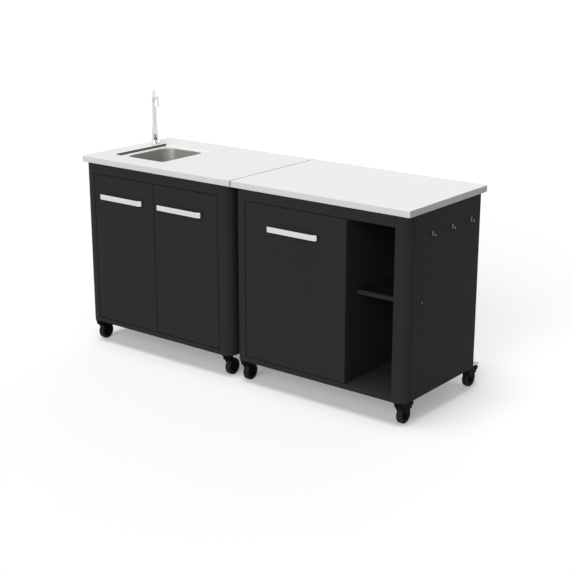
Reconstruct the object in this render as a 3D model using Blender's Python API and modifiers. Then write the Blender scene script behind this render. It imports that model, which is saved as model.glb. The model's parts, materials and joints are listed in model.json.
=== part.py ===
import math

import bmesh
import bpy
from mathutils import Matrix, Vector

# Outdoor kitchen unit: two caster-mounted modules side by side, one with a sink, one with an open
# compartment. The model is laid out from the worktops' left end (x), their front edge (y, going
# back) and the floor (z), and the frame empty moves that corner so that the origin is under the
# middle of the unit.

# Clearances shared by every piece
seat_gap = 0.0003
running_gap = 0.0003
cut_overrun = 0.004
merge_distance = 0.00001

# Sheet metal
sheet = 0.0015

# Worktops
worktop_height = 0.900
worktop_width = 0.899
worktop_depth = 0.593
worktop_thickness = 0.028
worktop_seam = 0.002
worktop_end_overhang = 0.006
worktop_inner_overhang = 0.013
worktop_front_overhang = 0.003
worktop_rear_overhang = 0.0385
worktop_lip = 0.030

# Cabinets
base_height = 0.102
top_rail_height = 0.0469
bottom_rail_height = 0.0226
post_width = 0.062
post_radius = 0.050
post_return = 0.022
post_foot_thickness = 0.003
side_return = 0.014
side_rear_return = 0.025
tray_flange = 0.080
back_inset = 0.020
back_depth = 0.025

# Doors and their pivots
door_gap = 0.003
door_thickness = 0.018
door_lip = 0.016
wide_door_width = 0.5235
pivot_inset = 0.018
pivot_radius = 0.0035
pivot_reach = 0.010
pivot_washer_radius = 0.008
stop_width = 0.044
stop_height = 0.014

# Handles
handle_length = 0.261
handle_height = 0.024
handle_strip = 0.0035
handle_stand_off = 0.030
handle_bend_radius = 0.016
handle_drop = 0.0936
handle_offset = 0.0005
handle_hinge_shift = -0.0215

# Divider and shelf
divider_thickness = 0.018
shelf_thickness = 0.019
shelf_top = 0.514
shelf_setback = 0.082
shelf_screw_setback = 0.1125
screw_radius = 0.0025
screw_reach = 0.009
screw_head_radius = 0.0045
screw_head_height = 0.0025

# Channel that joins the modules
joint_depth = 0.070

# Side hooks
hook_count = 3
hook_first_setback = 0.175
hook_spacing = 0.150
hook_drop = 0.0847
hook_height = 0.022
hook_width = 0.009
hook_strip = 0.0025
hook_radius = 0.0075
hook_tip_rise = 0.005

# Sink
recess_left = 0.095
recess_front = 0.115
recess_width = 0.307
recess_length = 0.360
recess_depth = 0.012
recess_radius = 0.018
bowl_width = 0.243
bowl_length = 0.296
bowl_depth = 0.150
bowl_radius = 0.050
bowl_floor_radius = 0.020
bowl_taper = 0.010
bowl_flange = 0.014
drain_radius = 0.024
drain_dip = 0.004
strainer_flange_radius = 0.034
strainer_flange_thickness = 0.002
strainer_neck_radius = 0.0225
strainer_nut_radius = 0.032
strainer_nut_height = 0.014
strainer_tail = 0.020
tail_radius = 0.016
trap_nut_radius = 0.023
trap_nut_height = 0.018
trap_pipe_radius = 0.0175
trap_pipe_length = 0.030
trap_bottle_radius = 0.028
trap_bottle_height = 0.085
trap_outlet_radius = 0.016
trap_outlet_reach = 0.110
trap_outlet_drop = 0.022
trap_socket = 0.014

# Tap
tap_x = 0.045
tap_y = 0.441
tap_flange_radius = 0.024
tap_flange_height = 0.008
tap_body_radius = 0.015
tap_body_height = 0.043
tap_spigot_radius = 0.008
tap_spigot_height = 0.030
tap_shank_radius = 0.014
tap_shank_length = 0.022
tap_nut_radius = 0.022
tap_nut_height = 0.008
collar_height = 0.047
collar_top_radius = 0.0118
pipe_radius = 0.0103
pipe_socket = 0.014
neck_radius = 0.070
neck_rise = 0.274
neck_sweep = math.radians(168)
neck_bearing = math.radians(-41)
knob_length = 0.022
knob_width = 0.014
knob_height = 0.010
knob_corner = 0.004
knob_level = 0.027
knob_stem_radius = 0.003
knob_stem_length = 0.008

# Casters
caster_side_inset = 0.038
caster_front_inset = 0.025
caster_rear_inset = 0.0045
beam_width = 0.044
beam_rear_end = 0.071
beam_thickness = 0.0025
kingpin_radius = 0.005
kingpin_head_radius = 0.010
kingpin_head_height = 0.003
wheel_radius = 0.0375
wheel_width = 0.026
wheel_trail = 0.034
wheel_shoulder = 0.004
wheel_hub_radius = 0.009
wheel_web_recess = 0.003
wheel_rim = 0.010
axle_radius = 0.004
axle_head_radius = 0.007
axle_head_height = 0.0035
crown_radius = 0.019
crown_skirt = 0.018
crown_chamfer = 0.003
fork_sheet = 0.0025
fork_wheel_gap = 0.0015
fork_root = 0.0165
axle_boss_radius = 0.010

# Brake pedals on the outer four casters
pedal_pivot_back = 0.030
pedal_pivot_rise = 0.0365
pedal_pin_radius = 0.003
pedal_boss_radius = 0.007
pedal_side_gap = 0.0015
shoe_back = 0.0084
shoe_drop = 0.020
shoe_thickness = 0.0056
pedal_reach = 0.026
pedal_rise = 0.014
pedal_rise_back = 0.010
pedal_tip_rise = 0.006
pedal_tip_thickness = 0.010
pedal_belly_drop = 0.009
pedal_belly_back = 0.021

# Facets
turn_steps = 28
wheel_steps = 18
crown_steps = 16
small_steps = 10
bend_steps = 5
bowl_floor_steps = 3
knob_steps = 3
pipe_resolution = 3
sharp_angle = math.radians(35)

# Levels, worked out from the sizes above
unit_width = 2 * worktop_width + worktop_seam
cabinet_width = worktop_width - worktop_end_overhang - worktop_inner_overhang
cabinet_depth = worktop_depth - worktop_front_overhang - worktop_rear_overhang
cabinet_front = worktop_front_overhang
cabinet_top = worktop_height - worktop_thickness - seat_gap
cabinet_names = ("sink_module", "open_module")
cabinet_lefts = (worktop_end_overhang, unit_width - worktop_end_overhang - cabinet_width)
rail_depth = post_radius
floor_top = base_height + bottom_rail_height
side_front = cabinet_front + post_radius + seat_gap
cabinet_rear = cabinet_front + cabinet_depth
door_bottom = floor_top + door_gap
door_top = cabinet_top - top_rail_height - door_gap
door_back = cabinet_front + door_thickness
pivot_y = cabinet_front + door_thickness / 2
opening_width = cabinet_width - 2 * post_width
narrow_door_width = (opening_width - 3 * door_gap) / 2
divider_right = cabinet_lefts[1] + post_width + door_gap + wide_door_width
shelf_right = cabinet_lefts[1] + cabinet_width - sheet - seat_gap
shelf_front = cabinet_front + shelf_setback
inner_rear = cabinet_rear - sheet - seat_gap
bowl_top = worktop_height - recess_depth - sheet - seat_gap
bowl_x = recess_left + recess_width / 2
bowl_y = recess_front + recess_length / 2
pedal_pivot_y = wheel_trail + pedal_pivot_back
pedal_pivot_z = wheel_radius + pedal_pivot_rise
caster_ys = (cabinet_front + caster_front_inset, cabinet_rear - caster_rear_inset)
hook_tip_x = cabinet_lefts[1] + cabinet_width + seat_gap + 2 * hook_radius
unit_front = cabinet_front - handle_stand_off
unit_rear = caster_ys[1] + pedal_pivot_y + pedal_reach
frame_shift = (-hook_tip_x / 2, -(unit_front + unit_rear) / 2, 0.0)

# Each way that a sheet section can be extruded: its two section directions and its length direction
section_frames = {
    "x": (Vector((0, 1, 0)), Vector((0, 0, 1)), Vector((1, 0, 0))),
    "y": (Vector((1, 0, 0)), Vector((0, 0, 1)), Vector((0, 1, 0))),
    "z": (Vector((1, 0, 0)), Vector((0, 1, 0)), Vector((0, 0, 1))),
}


def clear_scene():
    for item in list(bpy.data.objects):
        bpy.data.objects.remove(item, do_unlink=True)
    for group in list(bpy.data.collections):
        bpy.data.collections.remove(group)


def make_collection(name):
    group = bpy.data.collections.new(name)
    bpy.context.scene.collection.children.link(group)
    return group


def make_material(name, colour, roughness, metallic):
    material = bpy.data.materials.new(name)
    material.use_nodes = True
    shader = material.node_tree.nodes["Principled BSDF"]
    shader.inputs["Base Color"].default_value = (*colour, 1.0)
    shader.inputs["Roughness"].default_value = roughness
    shader.inputs["Metallic"].default_value = metallic
    return material


def make_empty(name, parent, location):
    empty = bpy.data.objects.new(name, None)
    empty.empty_display_size = wheel_radius
    parts.objects.link(empty)
    empty.parent = parent
    empty.location = location
    return empty


def mesh_from(bm, name):
    mesh = bpy.data.meshes.new(name)
    bm.to_mesh(mesh)
    bm.free()
    return mesh


def add_part(name, mesh, material, parent, location=(0, 0, 0), rotation=(0, 0, 0)):
    item = bpy.data.objects.new(name, mesh)
    mesh.materials.clear()
    mesh.materials.append(material)
    parts.objects.link(item)
    item.parent = parent
    item.location = location
    item.rotation_euler = rotation
    return item


def add_cutter(name, mesh, parent, location=(0, 0, 0), rotation=(0, 0, 0)):
    item = bpy.data.objects.new(name, mesh)
    cutters.objects.link(item)
    item.parent = parent
    item.location = location
    item.rotation_euler = rotation
    item.hide_render = True
    item.display_type = "WIRE"
    return item


def thicken(item, thickness):
    shell = item.modifiers.new("thickness", "SOLIDIFY")
    shell.thickness = thickness
    shell.offset = -1
    shell.use_even_offset = True


def combine(item, tool, operation):
    boolean = item.modifiers.new(operation.lower(), "BOOLEAN")
    boolean.operation = operation
    boolean.object = tool
    boolean.solver = "EXACT"


def smooth(mesh):
    mesh.shade_smooth()
    mesh.set_sharp_from_angle(angle=sharp_angle)


def arc(centre, radius, start, end, steps):
    points = []
    for step in range(steps + 1):
        angle = math.radians(start + (end - start) * step / steps)
        points.append((centre[0] + radius * math.cos(angle), centre[1] + radius * math.sin(angle)))
    return points


def box_mesh(name, low, high):
    bm = bmesh.new()
    bmesh.ops.create_cube(bm, size=1)
    size = [b - a for a, b in zip(low, high)]
    middle = [(a + b) / 2 for a, b in zip(low, high)]
    bmesh.ops.scale(bm, vec=size, verts=bm.verts)
    bmesh.ops.translate(bm, vec=middle, verts=bm.verts)
    return mesh_from(bm, name)


def pan_mesh(name, low, high, open_side, lip=0):
    """A box of sheet with one side open, or closed down to a lip all round."""
    bm = bmesh.new()
    bm.from_mesh(box_mesh(name + "_block", low, high))
    bm.normal_update()
    side = max(bm.faces, key=lambda face: face.normal.dot(Vector(open_side)))
    if lip > 0:
        bmesh.ops.inset_region(bm, faces=[side], thickness=lip, use_even_offset=True)
    bmesh.ops.delete(bm, geom=[side], context="FACES_ONLY")
    return mesh_from(bm, name)


def folded_mesh(name, path, length, along):
    """A section line swept along one axis. The sheet's thickness lies on the line's left."""
    first, second, third = section_frames[along]
    bm = bmesh.new()
    line = [bm.verts.new(first * u + second * v) for u, v in path]
    edges = [bm.edges.new(pair) for pair in zip(line, line[1:])]
    swept = bmesh.ops.extrude_edge_only(bm, edges=edges)["geom"]
    moved = [item for item in swept if isinstance(item, bmesh.types.BMVert)]
    bmesh.ops.translate(bm, vec=third * length, verts=moved)
    bm.normal_update()
    bm.faces.ensure_lookup_table()
    step_u = path[1][0] - path[0][0]
    step_v = path[1][1] - path[0][1]
    right = first * step_v - second * step_u
    face = next(face for face in bm.faces if line[0] in face.verts and line[1] in face.verts)
    if face.normal.dot(right) < 0:
        bmesh.ops.reverse_faces(bm, faces=bm.faces)
    return mesh_from(bm, name)


def prism_mesh(name, outline, length, along="z", start=0):
    first, second, third = section_frames[along]
    bm = bmesh.new()
    face = bm.faces.new([bm.verts.new(first * u + second * v + third * start) for u, v in outline])
    swept = bmesh.ops.extrude_face_region(bm, geom=[face])["geom"]
    moved = [item for item in swept if isinstance(item, bmesh.types.BMVert)]
    bmesh.ops.translate(bm, vec=third * length, verts=moved)
    bmesh.ops.recalc_face_normals(bm, faces=bm.faces)
    return mesh_from(bm, name)


def cylinder_mesh(name, radius, low, high, along="z", steps=turn_steps):
    outline = arc((0, 0), radius, 0, 360, steps)[:-1]
    return prism_mesh(name, outline, high - low, along, low)


def add_turned(name, profile, material, parent, location=(0, 0, 0), rotation=(0, 0, 0), closed=False):
    """A profile of (radius, height), running down its outer side, turned about its height."""
    mesh = bpy.data.meshes.new(name)
    points = [(radius, 0, height) for radius, height in profile]
    edges = [(index, index + 1) for index in range(len(points) - 1)]
    if closed:
        edges.append((len(points) - 1, 0))
    mesh.from_pydata(points, edges, [])
    item = add_part(name, mesh, material, parent, location, rotation)
    screw = item.modifiers.new("turn", "SCREW")
    screw.steps = turn_steps
    screw.render_steps = turn_steps
    screw.use_merge_vertices = True
    screw.merge_threshold = merge_distance
    screw.use_smooth_shade = False
    return item


def rounded_rectangle(width, length, radius, steps=bend_steps):
    points = []
    corners = ((1, 1, 0), (-1, 1, 90), (-1, -1, 180), (1, -1, 270))
    for side_x, side_y, start in corners:
        centre = (side_x * (width / 2 - radius), side_y * (length / 2 - radius))
        points += arc(centre, radius, start, start + 90, steps)
    return points


def loft_mesh(name, loops):
    """Anticlockwise rings of the same number of points, from the outermost in, joined point to point."""
    bm = bmesh.new()
    rings = [[bm.verts.new(point) for point in loop] for loop in loops]
    for ring, following in zip(rings, rings[1:]):
        for index in range(len(ring)):
            before = index - 1
            bm.faces.new((ring[before], ring[index], following[index], following[before]))
    return mesh_from(bm, name)


def turned_mesh(name, profile, steps, closed=False):
    """A profile of (radius, height), running down its outer side, spun about its height."""
    bm = bmesh.new()
    verts = [bm.verts.new((radius, 0, height)) for radius, height in profile]
    edges = [bm.edges.new(pair) for pair in zip(verts, verts[1:])]
    if closed:
        edges.append(bm.edges.new((verts[-1], verts[0])))
    bmesh.ops.spin(bm, geom=verts + edges, cent=(0, 0, 0), axis=(0, 0, 1), angle=math.tau,
                   steps=steps, use_merge=True)
    bmesh.ops.remove_doubles(bm, verts=bm.verts, dist=merge_distance)
    bmesh.ops.recalc_face_normals(bm, faces=bm.faces)
    return mesh_from(bm, name)


def evaluated_mesh(name, item, *tools):
    """The item's mesh with its modifiers applied. The item and its tools are used up."""
    graph = bpy.context.evaluated_depsgraph_get()
    mesh = bpy.data.meshes.new_from_object(item.evaluated_get(graph))
    mesh.name = name
    for used in (item, *tools):
        bpy.data.objects.remove(used, do_unlink=True)
    return mesh


def welded_mesh(mesh):
    """A curve's mesh with its caps joined to its wall."""
    bm = bmesh.new()
    bm.from_mesh(mesh)
    bmesh.ops.remove_doubles(bm, verts=bm.verts, dist=merge_distance)
    return mesh_from(bm, mesh.name)


def mirrored(path, width):
    return [(width - u, v) for u, v in reversed(path)]


# Cabinets

def post_path():
    start = [(side_return, post_radius)]
    corner = arc((post_radius, post_radius), post_radius, 180, 270, 2 * bend_steps)
    return start + corner + [(post_width, 0), (post_width, post_return)]


def foot_outline():
    """The plate welded inside a post's foot, halfway into the sheet all round."""
    inset = sheet / 2
    corner = arc((post_radius, post_radius), post_radius - inset, 180, 270, 2 * bend_steps)
    back = post_radius - inset
    inner = post_width - inset
    return corner[1:] + [(inner, inset), (inner, back), (corner[1][0], back)]


def add_post(name, corner, outward):
    height = cabinet_top - base_height
    path = post_path()
    foot = foot_outline()
    if outward > 0:
        path = mirrored(path, cabinet_width)
        foot = mirrored(foot, cabinet_width)
    post = add_part(name, folded_mesh(name, path, height, "z"), coating, frame, corner)
    thicken(post, sheet)
    plate_mesh = prism_mesh(name + "_foot", foot, post_foot_thickness)
    plate = add_cutter(name + "_foot", plate_mesh, frame, corner)
    combine(post, plate, "UNION")


def add_side(name, corner, outward):
    length = cabinet_rear - side_front
    path = [(side_rear_return, length), (0, length), (0, 0), (side_return, 0)]
    if outward > 0:
        path = mirrored(path, cabinet_width)
    place = (corner[0], side_front, corner[2])
    side = add_part(name, folded_mesh(name, path, cabinet_top - base_height, "z"), coating, frame, place)
    thicken(side, sheet)
    return side


def pin_mesh(level, downward):
    """A door's pivot pin, welded to a rail at the level given: a washer that fills the gap, then the pin."""
    washer = door_gap - seat_gap
    end = washer + pivot_reach
    profile = [(0, sheet / 2), (pivot_washer_radius, sheet / 2), (pivot_washer_radius, -washer),
               (pivot_radius, -washer), (pivot_radius, -end), (0, -end)]
    mesh = turned_mesh("pivot_pin", profile, small_steps)
    if not downward:
        mesh.transform(Matrix.Rotation(math.pi, 4, "X"))
    mesh.transform(Matrix.Translation((0, 0, level)))
    return mesh


def add_pins(rail, prefix, level, pivot_xs, downward):
    for number, pivot_x in enumerate(pivot_xs, 1):
        name = "%s_pin_%d" % (prefix, number)
        combine(rail, add_cutter(name, pin_mesh(level, downward), frame, (pivot_x, pivot_y, 0)), "UNION")


def add_top_rail(prefix, corner, pivot_xs, stop_xs):
    """The rail above the doors, with their upper pins and the tabs that they close against."""
    path = [(rail_depth, top_rail_height), (0, top_rail_height), (0, 0), (rail_depth, 0)]
    length = opening_width - 2 * seat_gap
    level = cabinet_top - top_rail_height
    place = (corner[0] + post_width + seat_gap, cabinet_front, level)
    name = prefix + "_top_rail"
    rail = add_part(name, folded_mesh(name, path, length, "x"), coating, frame, place)
    thicken(rail, sheet)
    add_pins(rail, name, level, pivot_xs, True)
    for number, stop_x in enumerate(stop_xs, 1):
        low = (stop_x - stop_width / 2, door_back + seat_gap, level - stop_height)
        high = (stop_x + stop_width / 2, door_back + seat_gap + sheet, level + sheet / 2)
        tab = add_cutter("%s_stop_%d" % (name, number), box_mesh("stop", low, high), frame)
        combine(rail, tab, "UNION")


def add_base(prefix, corner, pivot_xs):
    """The floor tray and the rail in front of it are one folded sheet, with the doors' lower pins."""
    width = cabinet_width - 2 * (sheet + seat_gap)
    path = [(width - tray_flange, 0), (width, 0), (width, bottom_rail_height), (0, bottom_rail_height),
            (0, 0), (tray_flange, 0)]
    front = side_front + sheet + seat_gap
    place = (corner[0] + sheet + seat_gap, front, base_height)
    name = prefix + "_base"
    tray = add_part(name, folded_mesh(name, path, inner_rear - front, "y"), coating, frame, place)
    thicken(tray, sheet)
    reach = front + post_return - cabinet_front
    rail_path = [(reach, bottom_rail_height), (0, bottom_rail_height), (0, 0), (rail_depth, 0)]
    rail_mesh = folded_mesh(name + "_rail", rail_path, opening_width - 2 * seat_gap, "x")
    rail_place = (corner[0] + post_width + seat_gap, cabinet_front, base_height)
    rail = add_cutter(name + "_rail", rail_mesh, frame, rail_place)
    thicken(rail, sheet)
    combine(tray, rail, "UNION")
    add_pins(tray, name, floor_top, pivot_xs, False)


def add_back(name, corner):
    low = (back_inset, 0, 0)
    high = (cabinet_width - back_inset, back_depth, cabinet_top - base_height)
    place = (corner[0], cabinet_rear + seat_gap, base_height)
    back = add_part(name, pan_mesh(name, low, high, (0, -1, 0)), coating, frame, place)
    thicken(back, sheet)


def add_cabinet(prefix, left, pivot_xs, stop_xs):
    corner = (left, cabinet_front, base_height)
    add_post(prefix + "_left_post", corner, -1)
    add_post(prefix + "_right_post", corner, 1)
    add_top_rail(prefix, corner, pivot_xs, stop_xs)
    add_base(prefix, corner, pivot_xs)
    add_back(prefix + "_back_panel", corner)
    add_side(prefix + "_left_side", corner, -1)
    return add_side(prefix + "_right_side", corner, 1)


def add_joint():
    """The channel between the modules, bolted to both of the sides that face each other."""
    width = cabinet_lefts[1] - cabinet_lefts[0] - cabinet_width - 2 * seat_gap
    path = [(width, 0), (width, joint_depth), (0, joint_depth), (0, 0)]
    place = (cabinet_lefts[0] + cabinet_width + seat_gap, cabinet_rear - joint_depth, base_height)
    mesh = folded_mesh("joining_channel", path, cabinet_top - base_height, "z")
    thicken(add_part("joining_channel", mesh, coating, frame, place), sheet)


# Doors and handles

def handle_path():
    """The strip's outer line: from the door, round a bend, along the bar and back the same way."""
    outer = handle_length / 2
    bend_start = handle_stand_off - handle_bend_radius
    bend = arc((-outer + handle_bend_radius, -bend_start), handle_bend_radius, 180, 270, bend_steps)
    half = [(-outer, -seat_gap)] + bend
    return half + [(-u, v) for u, v in reversed(half)]


def add_handle(name, pivot, offset, level):
    mesh = folded_mesh(name, handle_path(), handle_height, "z")
    place = (offset, -door_thickness / 2, level - handle_height / 2)
    handle = add_part(name, mesh, satin_steel, pivot, place)
    thicken(handle, handle_strip)


def add_door(name, left, width, pivot_x, handle_place):
    """The pivot empty is on the pins' axis, and the door's pan hangs round it."""
    pivot = make_empty(name + "_pivot", frame, (pivot_x, pivot_y, 0))
    low = (left - pivot_x, -door_thickness / 2, door_bottom)
    high = (left + width - pivot_x, door_thickness / 2, door_top)
    door = add_part(name, pan_mesh(name, low, high, (0, 1, 0), door_lip), coating, pivot)
    thicken(door, sheet)
    for place, level in (("top", door_top), ("bottom", door_bottom)):
        hole_mesh = cylinder_mesh("pin_hole", pivot_radius + running_gap, -cut_overrun, cut_overrun,
                                  steps=small_steps)
        hole = add_cutter(name + "_" + place + "_pin_hole", hole_mesh, pivot, (0, 0, level))
        combine(door, hole, "DIFFERENCE")
    handle_x = left + width / 2 + handle_place - pivot_x
    add_handle(name + "_handle", pivot, handle_x, door_top - handle_drop)


# Divider and shelf

def add_divider():
    low = (divider_right - divider_thickness, door_back + seat_gap, floor_top + seat_gap)
    high = (divider_right, inner_rear, cabinet_top - top_rail_height - seat_gap)
    divider = add_part("divider", pan_mesh("divider", low, high, (-1, 0, 0)), coating, frame)
    thicken(divider, sheet)


def add_shelf():
    low = (divider_right + seat_gap, shelf_front, shelf_top - shelf_thickness)
    high = (shelf_right, inner_rear, shelf_top)
    shelf = add_part("shelf", pan_mesh("shelf", low, high, (0, 0, -1)), coating, frame)
    thicken(shelf, sheet)
    return shelf


def add_shelf_screw(side, shelf):
    """The screw through the side panel into the shelf's end flange. Its head is outside."""
    profile = [(0, screw_head_height), (screw_head_radius, screw_head_height), (screw_head_radius, 0),
               (screw_radius, 0), (screw_radius, -screw_reach), (0, -screw_reach)]
    place = (cabinet_lefts[1] + cabinet_width + seat_gap, cabinet_front + shelf_screw_setback,
             shelf_top - shelf_thickness / 2)
    turn = (0, math.radians(90), 0)
    screw = add_turned("shelf_screw", profile, bright_steel, frame, place, turn)
    screw.modifiers["turn"].steps = small_steps
    screw.modifiers["turn"].render_steps = small_steps
    hole = cylinder_mesh("screw_hole", screw_radius + running_gap, -screw_reach - cut_overrun,
                         cut_overrun, steps=small_steps)
    cutter = add_cutter("screw_hole", hole, frame, place, turn)
    combine(side, cutter, "DIFFERENCE")
    combine(shelf, cutter, "DIFFERENCE")


def add_hooks():
    """Each hook is one strip: flat on the side panel, a bend below and a short upturned tip."""
    centre = (hook_radius, hook_radius)
    line = [(0, hook_height)] + arc(centre, hook_radius, 180, 360, 2 * bend_steps)
    line.append((2 * hook_radius, hook_radius + hook_tip_rise))
    mesh = folded_mesh("side_hook", line, hook_width, "y")
    side_face = cabinet_lefts[1] + cabinet_width + seat_gap
    for number in range(hook_count):
        setback = hook_first_setback + number * hook_spacing - hook_width / 2
        place = (side_face, cabinet_front + setback, cabinet_top - hook_drop - hook_height)
        thicken(add_part("side_hook_%d" % (number + 1), mesh, bright_steel, frame, place), hook_strip)


# Worktops, sink and tap

def add_worktop(name, left):
    low = (left, 0, worktop_height - worktop_thickness)
    high = (left + worktop_width, worktop_depth, worktop_height)
    top = add_part(name, pan_mesh(name, low, high, (0, 0, -1), worktop_lip), satin_steel, frame)
    thicken(top, sheet)
    return top


def add_sink_worktop():
    top = add_worktop("sink_worktop", 0)
    centre = (bowl_x, bowl_y, 0)
    recess_floor = worktop_height - recess_depth
    recess = rounded_rectangle(recess_width, recess_length, recess_radius)
    outside = rounded_rectangle(recess_width + 2 * sheet, recess_length + 2 * sheet, recess_radius + sheet)
    mouth = rounded_rectangle(bowl_width, bowl_length, bowl_radius)
    opening = add_cutter("recess_opening", prism_mesh("recess_opening", recess, 2 * cut_overrun, "z",
                                                      worktop_height - cut_overrun), frame, centre)
    dish_height = recess_depth + sheet / 2
    dish = add_cutter("recess_dish", prism_mesh("recess_dish", outside, dish_height, "z",
                                                recess_floor - sheet), frame, centre)
    hollow = add_cutter("recess_hollow", prism_mesh("recess_hollow", recess, recess_depth + cut_overrun, "z",
                                                    recess_floor), frame, centre)
    drop = add_cutter("bowl_mouth", prism_mesh("bowl_mouth", mouth, 2 * cut_overrun, "z",
                                               recess_floor - cut_overrun), frame, centre)
    combine(dish, hollow, "DIFFERENCE")
    combine(dish, drop, "DIFFERENCE")
    combine(top, opening, "DIFFERENCE")
    combine(top, dish, "UNION")
    shank_mesh = cylinder_mesh("tap_hole", tap_shank_radius + running_gap, -cut_overrun, cut_overrun)
    shank_hole = add_cutter("tap_hole", shank_mesh, frame, (tap_x, tap_y, worktop_height))
    combine(top, shank_hole, "DIFFERENCE")


def ring_at(count, radius, level):
    """A circle of as many points as a rounded rectangle has, half a step on, as its corners are."""
    half_step = 180 / count
    return [(u, v, level) for u, v in arc((0, 0), radius, half_step, 360 + half_step, count)[:-1]]


def add_bowl():
    """Rings from the welded flange, down the tapered wall and round its foot, to the drain."""
    flange = rounded_rectangle(bowl_width + 2 * bowl_flange, bowl_length + 2 * bowl_flange,
                               bowl_radius + bowl_flange)
    loops = [[(u, v, bowl_top) for u, v in flange]]
    wall_bottom = bowl_depth - bowl_floor_radius
    sections = [(0, 0), (bowl_taper, wall_bottom)]
    for step in range(1, bowl_floor_steps + 1):
        turn = math.radians(90) * step / bowl_floor_steps
        sections.append((bowl_taper + bowl_floor_radius * (1 - math.cos(turn)),
                         wall_bottom + bowl_floor_radius * math.sin(turn)))
    for inward, drop in sections:
        outline = rounded_rectangle(bowl_width - 2 * inward, bowl_length - 2 * inward, bowl_radius - inward)
        loops.append([(u, v, bowl_top - drop) for u, v in outline])
    drain_level = bowl_top - bowl_depth - drain_dip
    loops.append(ring_at(len(outline), strainer_flange_radius + strainer_flange_thickness, drain_level))
    loops.append(ring_at(len(outline), drain_radius, drain_level))
    mesh = loft_mesh("sink_bowl", loops)
    thicken(add_part("sink_bowl", mesh, brushed_steel, frame, (bowl_x, bowl_y, 0)), sheet)


def add_waste():
    """The strainer clamps the bowl's floor, and the bottle trap hangs on the strainer's tail."""
    drain_level = bowl_top - bowl_depth - drain_dip
    under = -sheet - seat_gap
    nut_end = under - strainer_nut_height
    tail_end = nut_end - strainer_tail
    lid = seat_gap + strainer_flange_thickness
    strainer = [(0, lid), (strainer_flange_radius, lid), (strainer_flange_radius, seat_gap),
                (strainer_neck_radius, seat_gap), (strainer_neck_radius, under),
                (strainer_nut_radius, under), (strainer_nut_radius, nut_end),
                (tail_radius, nut_end), (tail_radius, tail_end), (0, tail_end)]
    add_turned("sink_strainer", strainer, bright_steel, frame, (bowl_x, bowl_y, drain_level))
    bore = tail_radius + seat_gap
    seat = tail_end - seat_gap
    mouth = seat + trap_socket
    collar = mouth - trap_nut_height
    shoulder = collar - trap_pipe_length
    foot = shoulder - trap_bottle_height
    trap = [(0, seat), (bore, seat), (bore, mouth), (trap_nut_radius, mouth), (trap_nut_radius, collar),
            (trap_pipe_radius, collar), (trap_pipe_radius, shoulder), (trap_bottle_radius, shoulder),
            (trap_bottle_radius, foot), (0, foot)]
    bottle = add_turned("sink_trap", trap, grey_plastic, frame, (bowl_x, bowl_y, drain_level))
    outlet_mesh = cylinder_mesh("trap_outlet", trap_outlet_radius, 0, trap_outlet_reach, "y", small_steps)
    outlet_place = (bowl_x, bowl_y, drain_level + shoulder - trap_outlet_drop)
    outlet = add_cutter("trap_outlet", outlet_mesh, frame, outlet_place)
    combine(bottle, outlet, "UNION")


def add_tap():
    """The body is clamped to the worktop. The collar and neck turn on its spigot."""
    neck_way = Vector((math.cos(neck_bearing), math.sin(neck_bearing), 0))
    spigot_top = tap_body_height + tap_spigot_height
    body = [(0, spigot_top), (tap_spigot_radius, spigot_top), (tap_spigot_radius, tap_body_height),
            (tap_body_radius, tap_body_height), (tap_body_radius, tap_flange_height),
            (tap_flange_radius, tap_flange_height), (tap_flange_radius, seat_gap),
            (tap_shank_radius, seat_gap), (tap_shank_radius, -tap_shank_length), (0, -tap_shank_length)]
    place = (tap_x, tap_y, worktop_height)
    tap_body = add_turned("tap_body", body, bright_steel, frame, place)
    nut_top = -sheet - seat_gap
    nut_bore = tap_shank_radius + running_gap
    nut = [(tap_nut_radius, nut_top), (tap_nut_radius, nut_top - tap_nut_height),
           (nut_bore, nut_top - tap_nut_height), (nut_bore, nut_top)]
    add_turned("tap_nut", nut, bright_steel, frame, place, closed=True)

    swivel = make_empty("tap_swivel", frame, (tap_x, tap_y, worktop_height + tap_body_height))
    bore = tap_spigot_radius + running_gap
    bore_end = tap_spigot_height + running_gap
    collar = [(0, collar_height), (collar_top_radius, collar_height), (tap_body_radius, running_gap),
              (bore, running_gap), (bore, bore_end), (0, bore_end)]
    spout = add_turned("tap_spout", collar, bright_steel, swivel)

    spring = neck_rise - tap_body_height - pipe_radius - neck_radius
    points = [Vector((0, 0, collar_height - pipe_socket)), Vector((0, 0, spring))]
    turns = 2 * bend_steps
    for step in range(1, turns + 1):
        angle = neck_sweep * step / turns
        points.append(neck_way * neck_radius * (1 - math.cos(angle))
                      + Vector((0, 0, spring + neck_radius * math.sin(angle))))
    curve = bpy.data.curves.new("tap_neck", "CURVE")
    curve.dimensions = "3D"
    curve.bevel_depth = pipe_radius
    curve.bevel_resolution = pipe_resolution
    curve.use_fill_caps = True
    spline = curve.splines.new("POLY")
    spline.points.add(len(points) - 1)
    for point, position in zip(spline.points, points):
        point.co = (*position, 1)
    neck = bpy.data.objects.new("tap_neck", curve)
    cutters.objects.link(neck)
    neck_mesh = welded_mesh(evaluated_mesh("tap_neck", neck))
    combine(spout, add_cutter("tap_neck", neck_mesh, swivel), "UNION")

    outward = neck_way.to_track_quat("Z", "Y").to_euler()
    knob_place = Vector(place) + Vector((0, 0, knob_level)) + neck_way * (tap_body_radius + running_gap)
    turn = make_empty("tap_knob_axis", frame, knob_place)
    turn.rotation_euler = outward
    grip = rounded_rectangle(knob_width, knob_height, knob_corner, knob_steps)
    knob = add_part("tap_knob", prism_mesh("tap_knob", grip, knob_length), bright_steel, turn)
    stem_mesh = cylinder_mesh("knob_stem", knob_stem_radius, -knob_stem_length, knob_stem_length,
                              steps=small_steps)
    combine(knob, add_cutter("knob_stem", stem_mesh, turn), "UNION")
    stem_hole = cylinder_mesh("knob_hole", knob_stem_radius + running_gap,
                              -knob_stem_length - running_gap, knob_stem_length, steps=small_steps)
    combine(tap_body, add_cutter("knob_hole", stem_hole, turn), "DIFFERENCE")


# Casters

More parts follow.
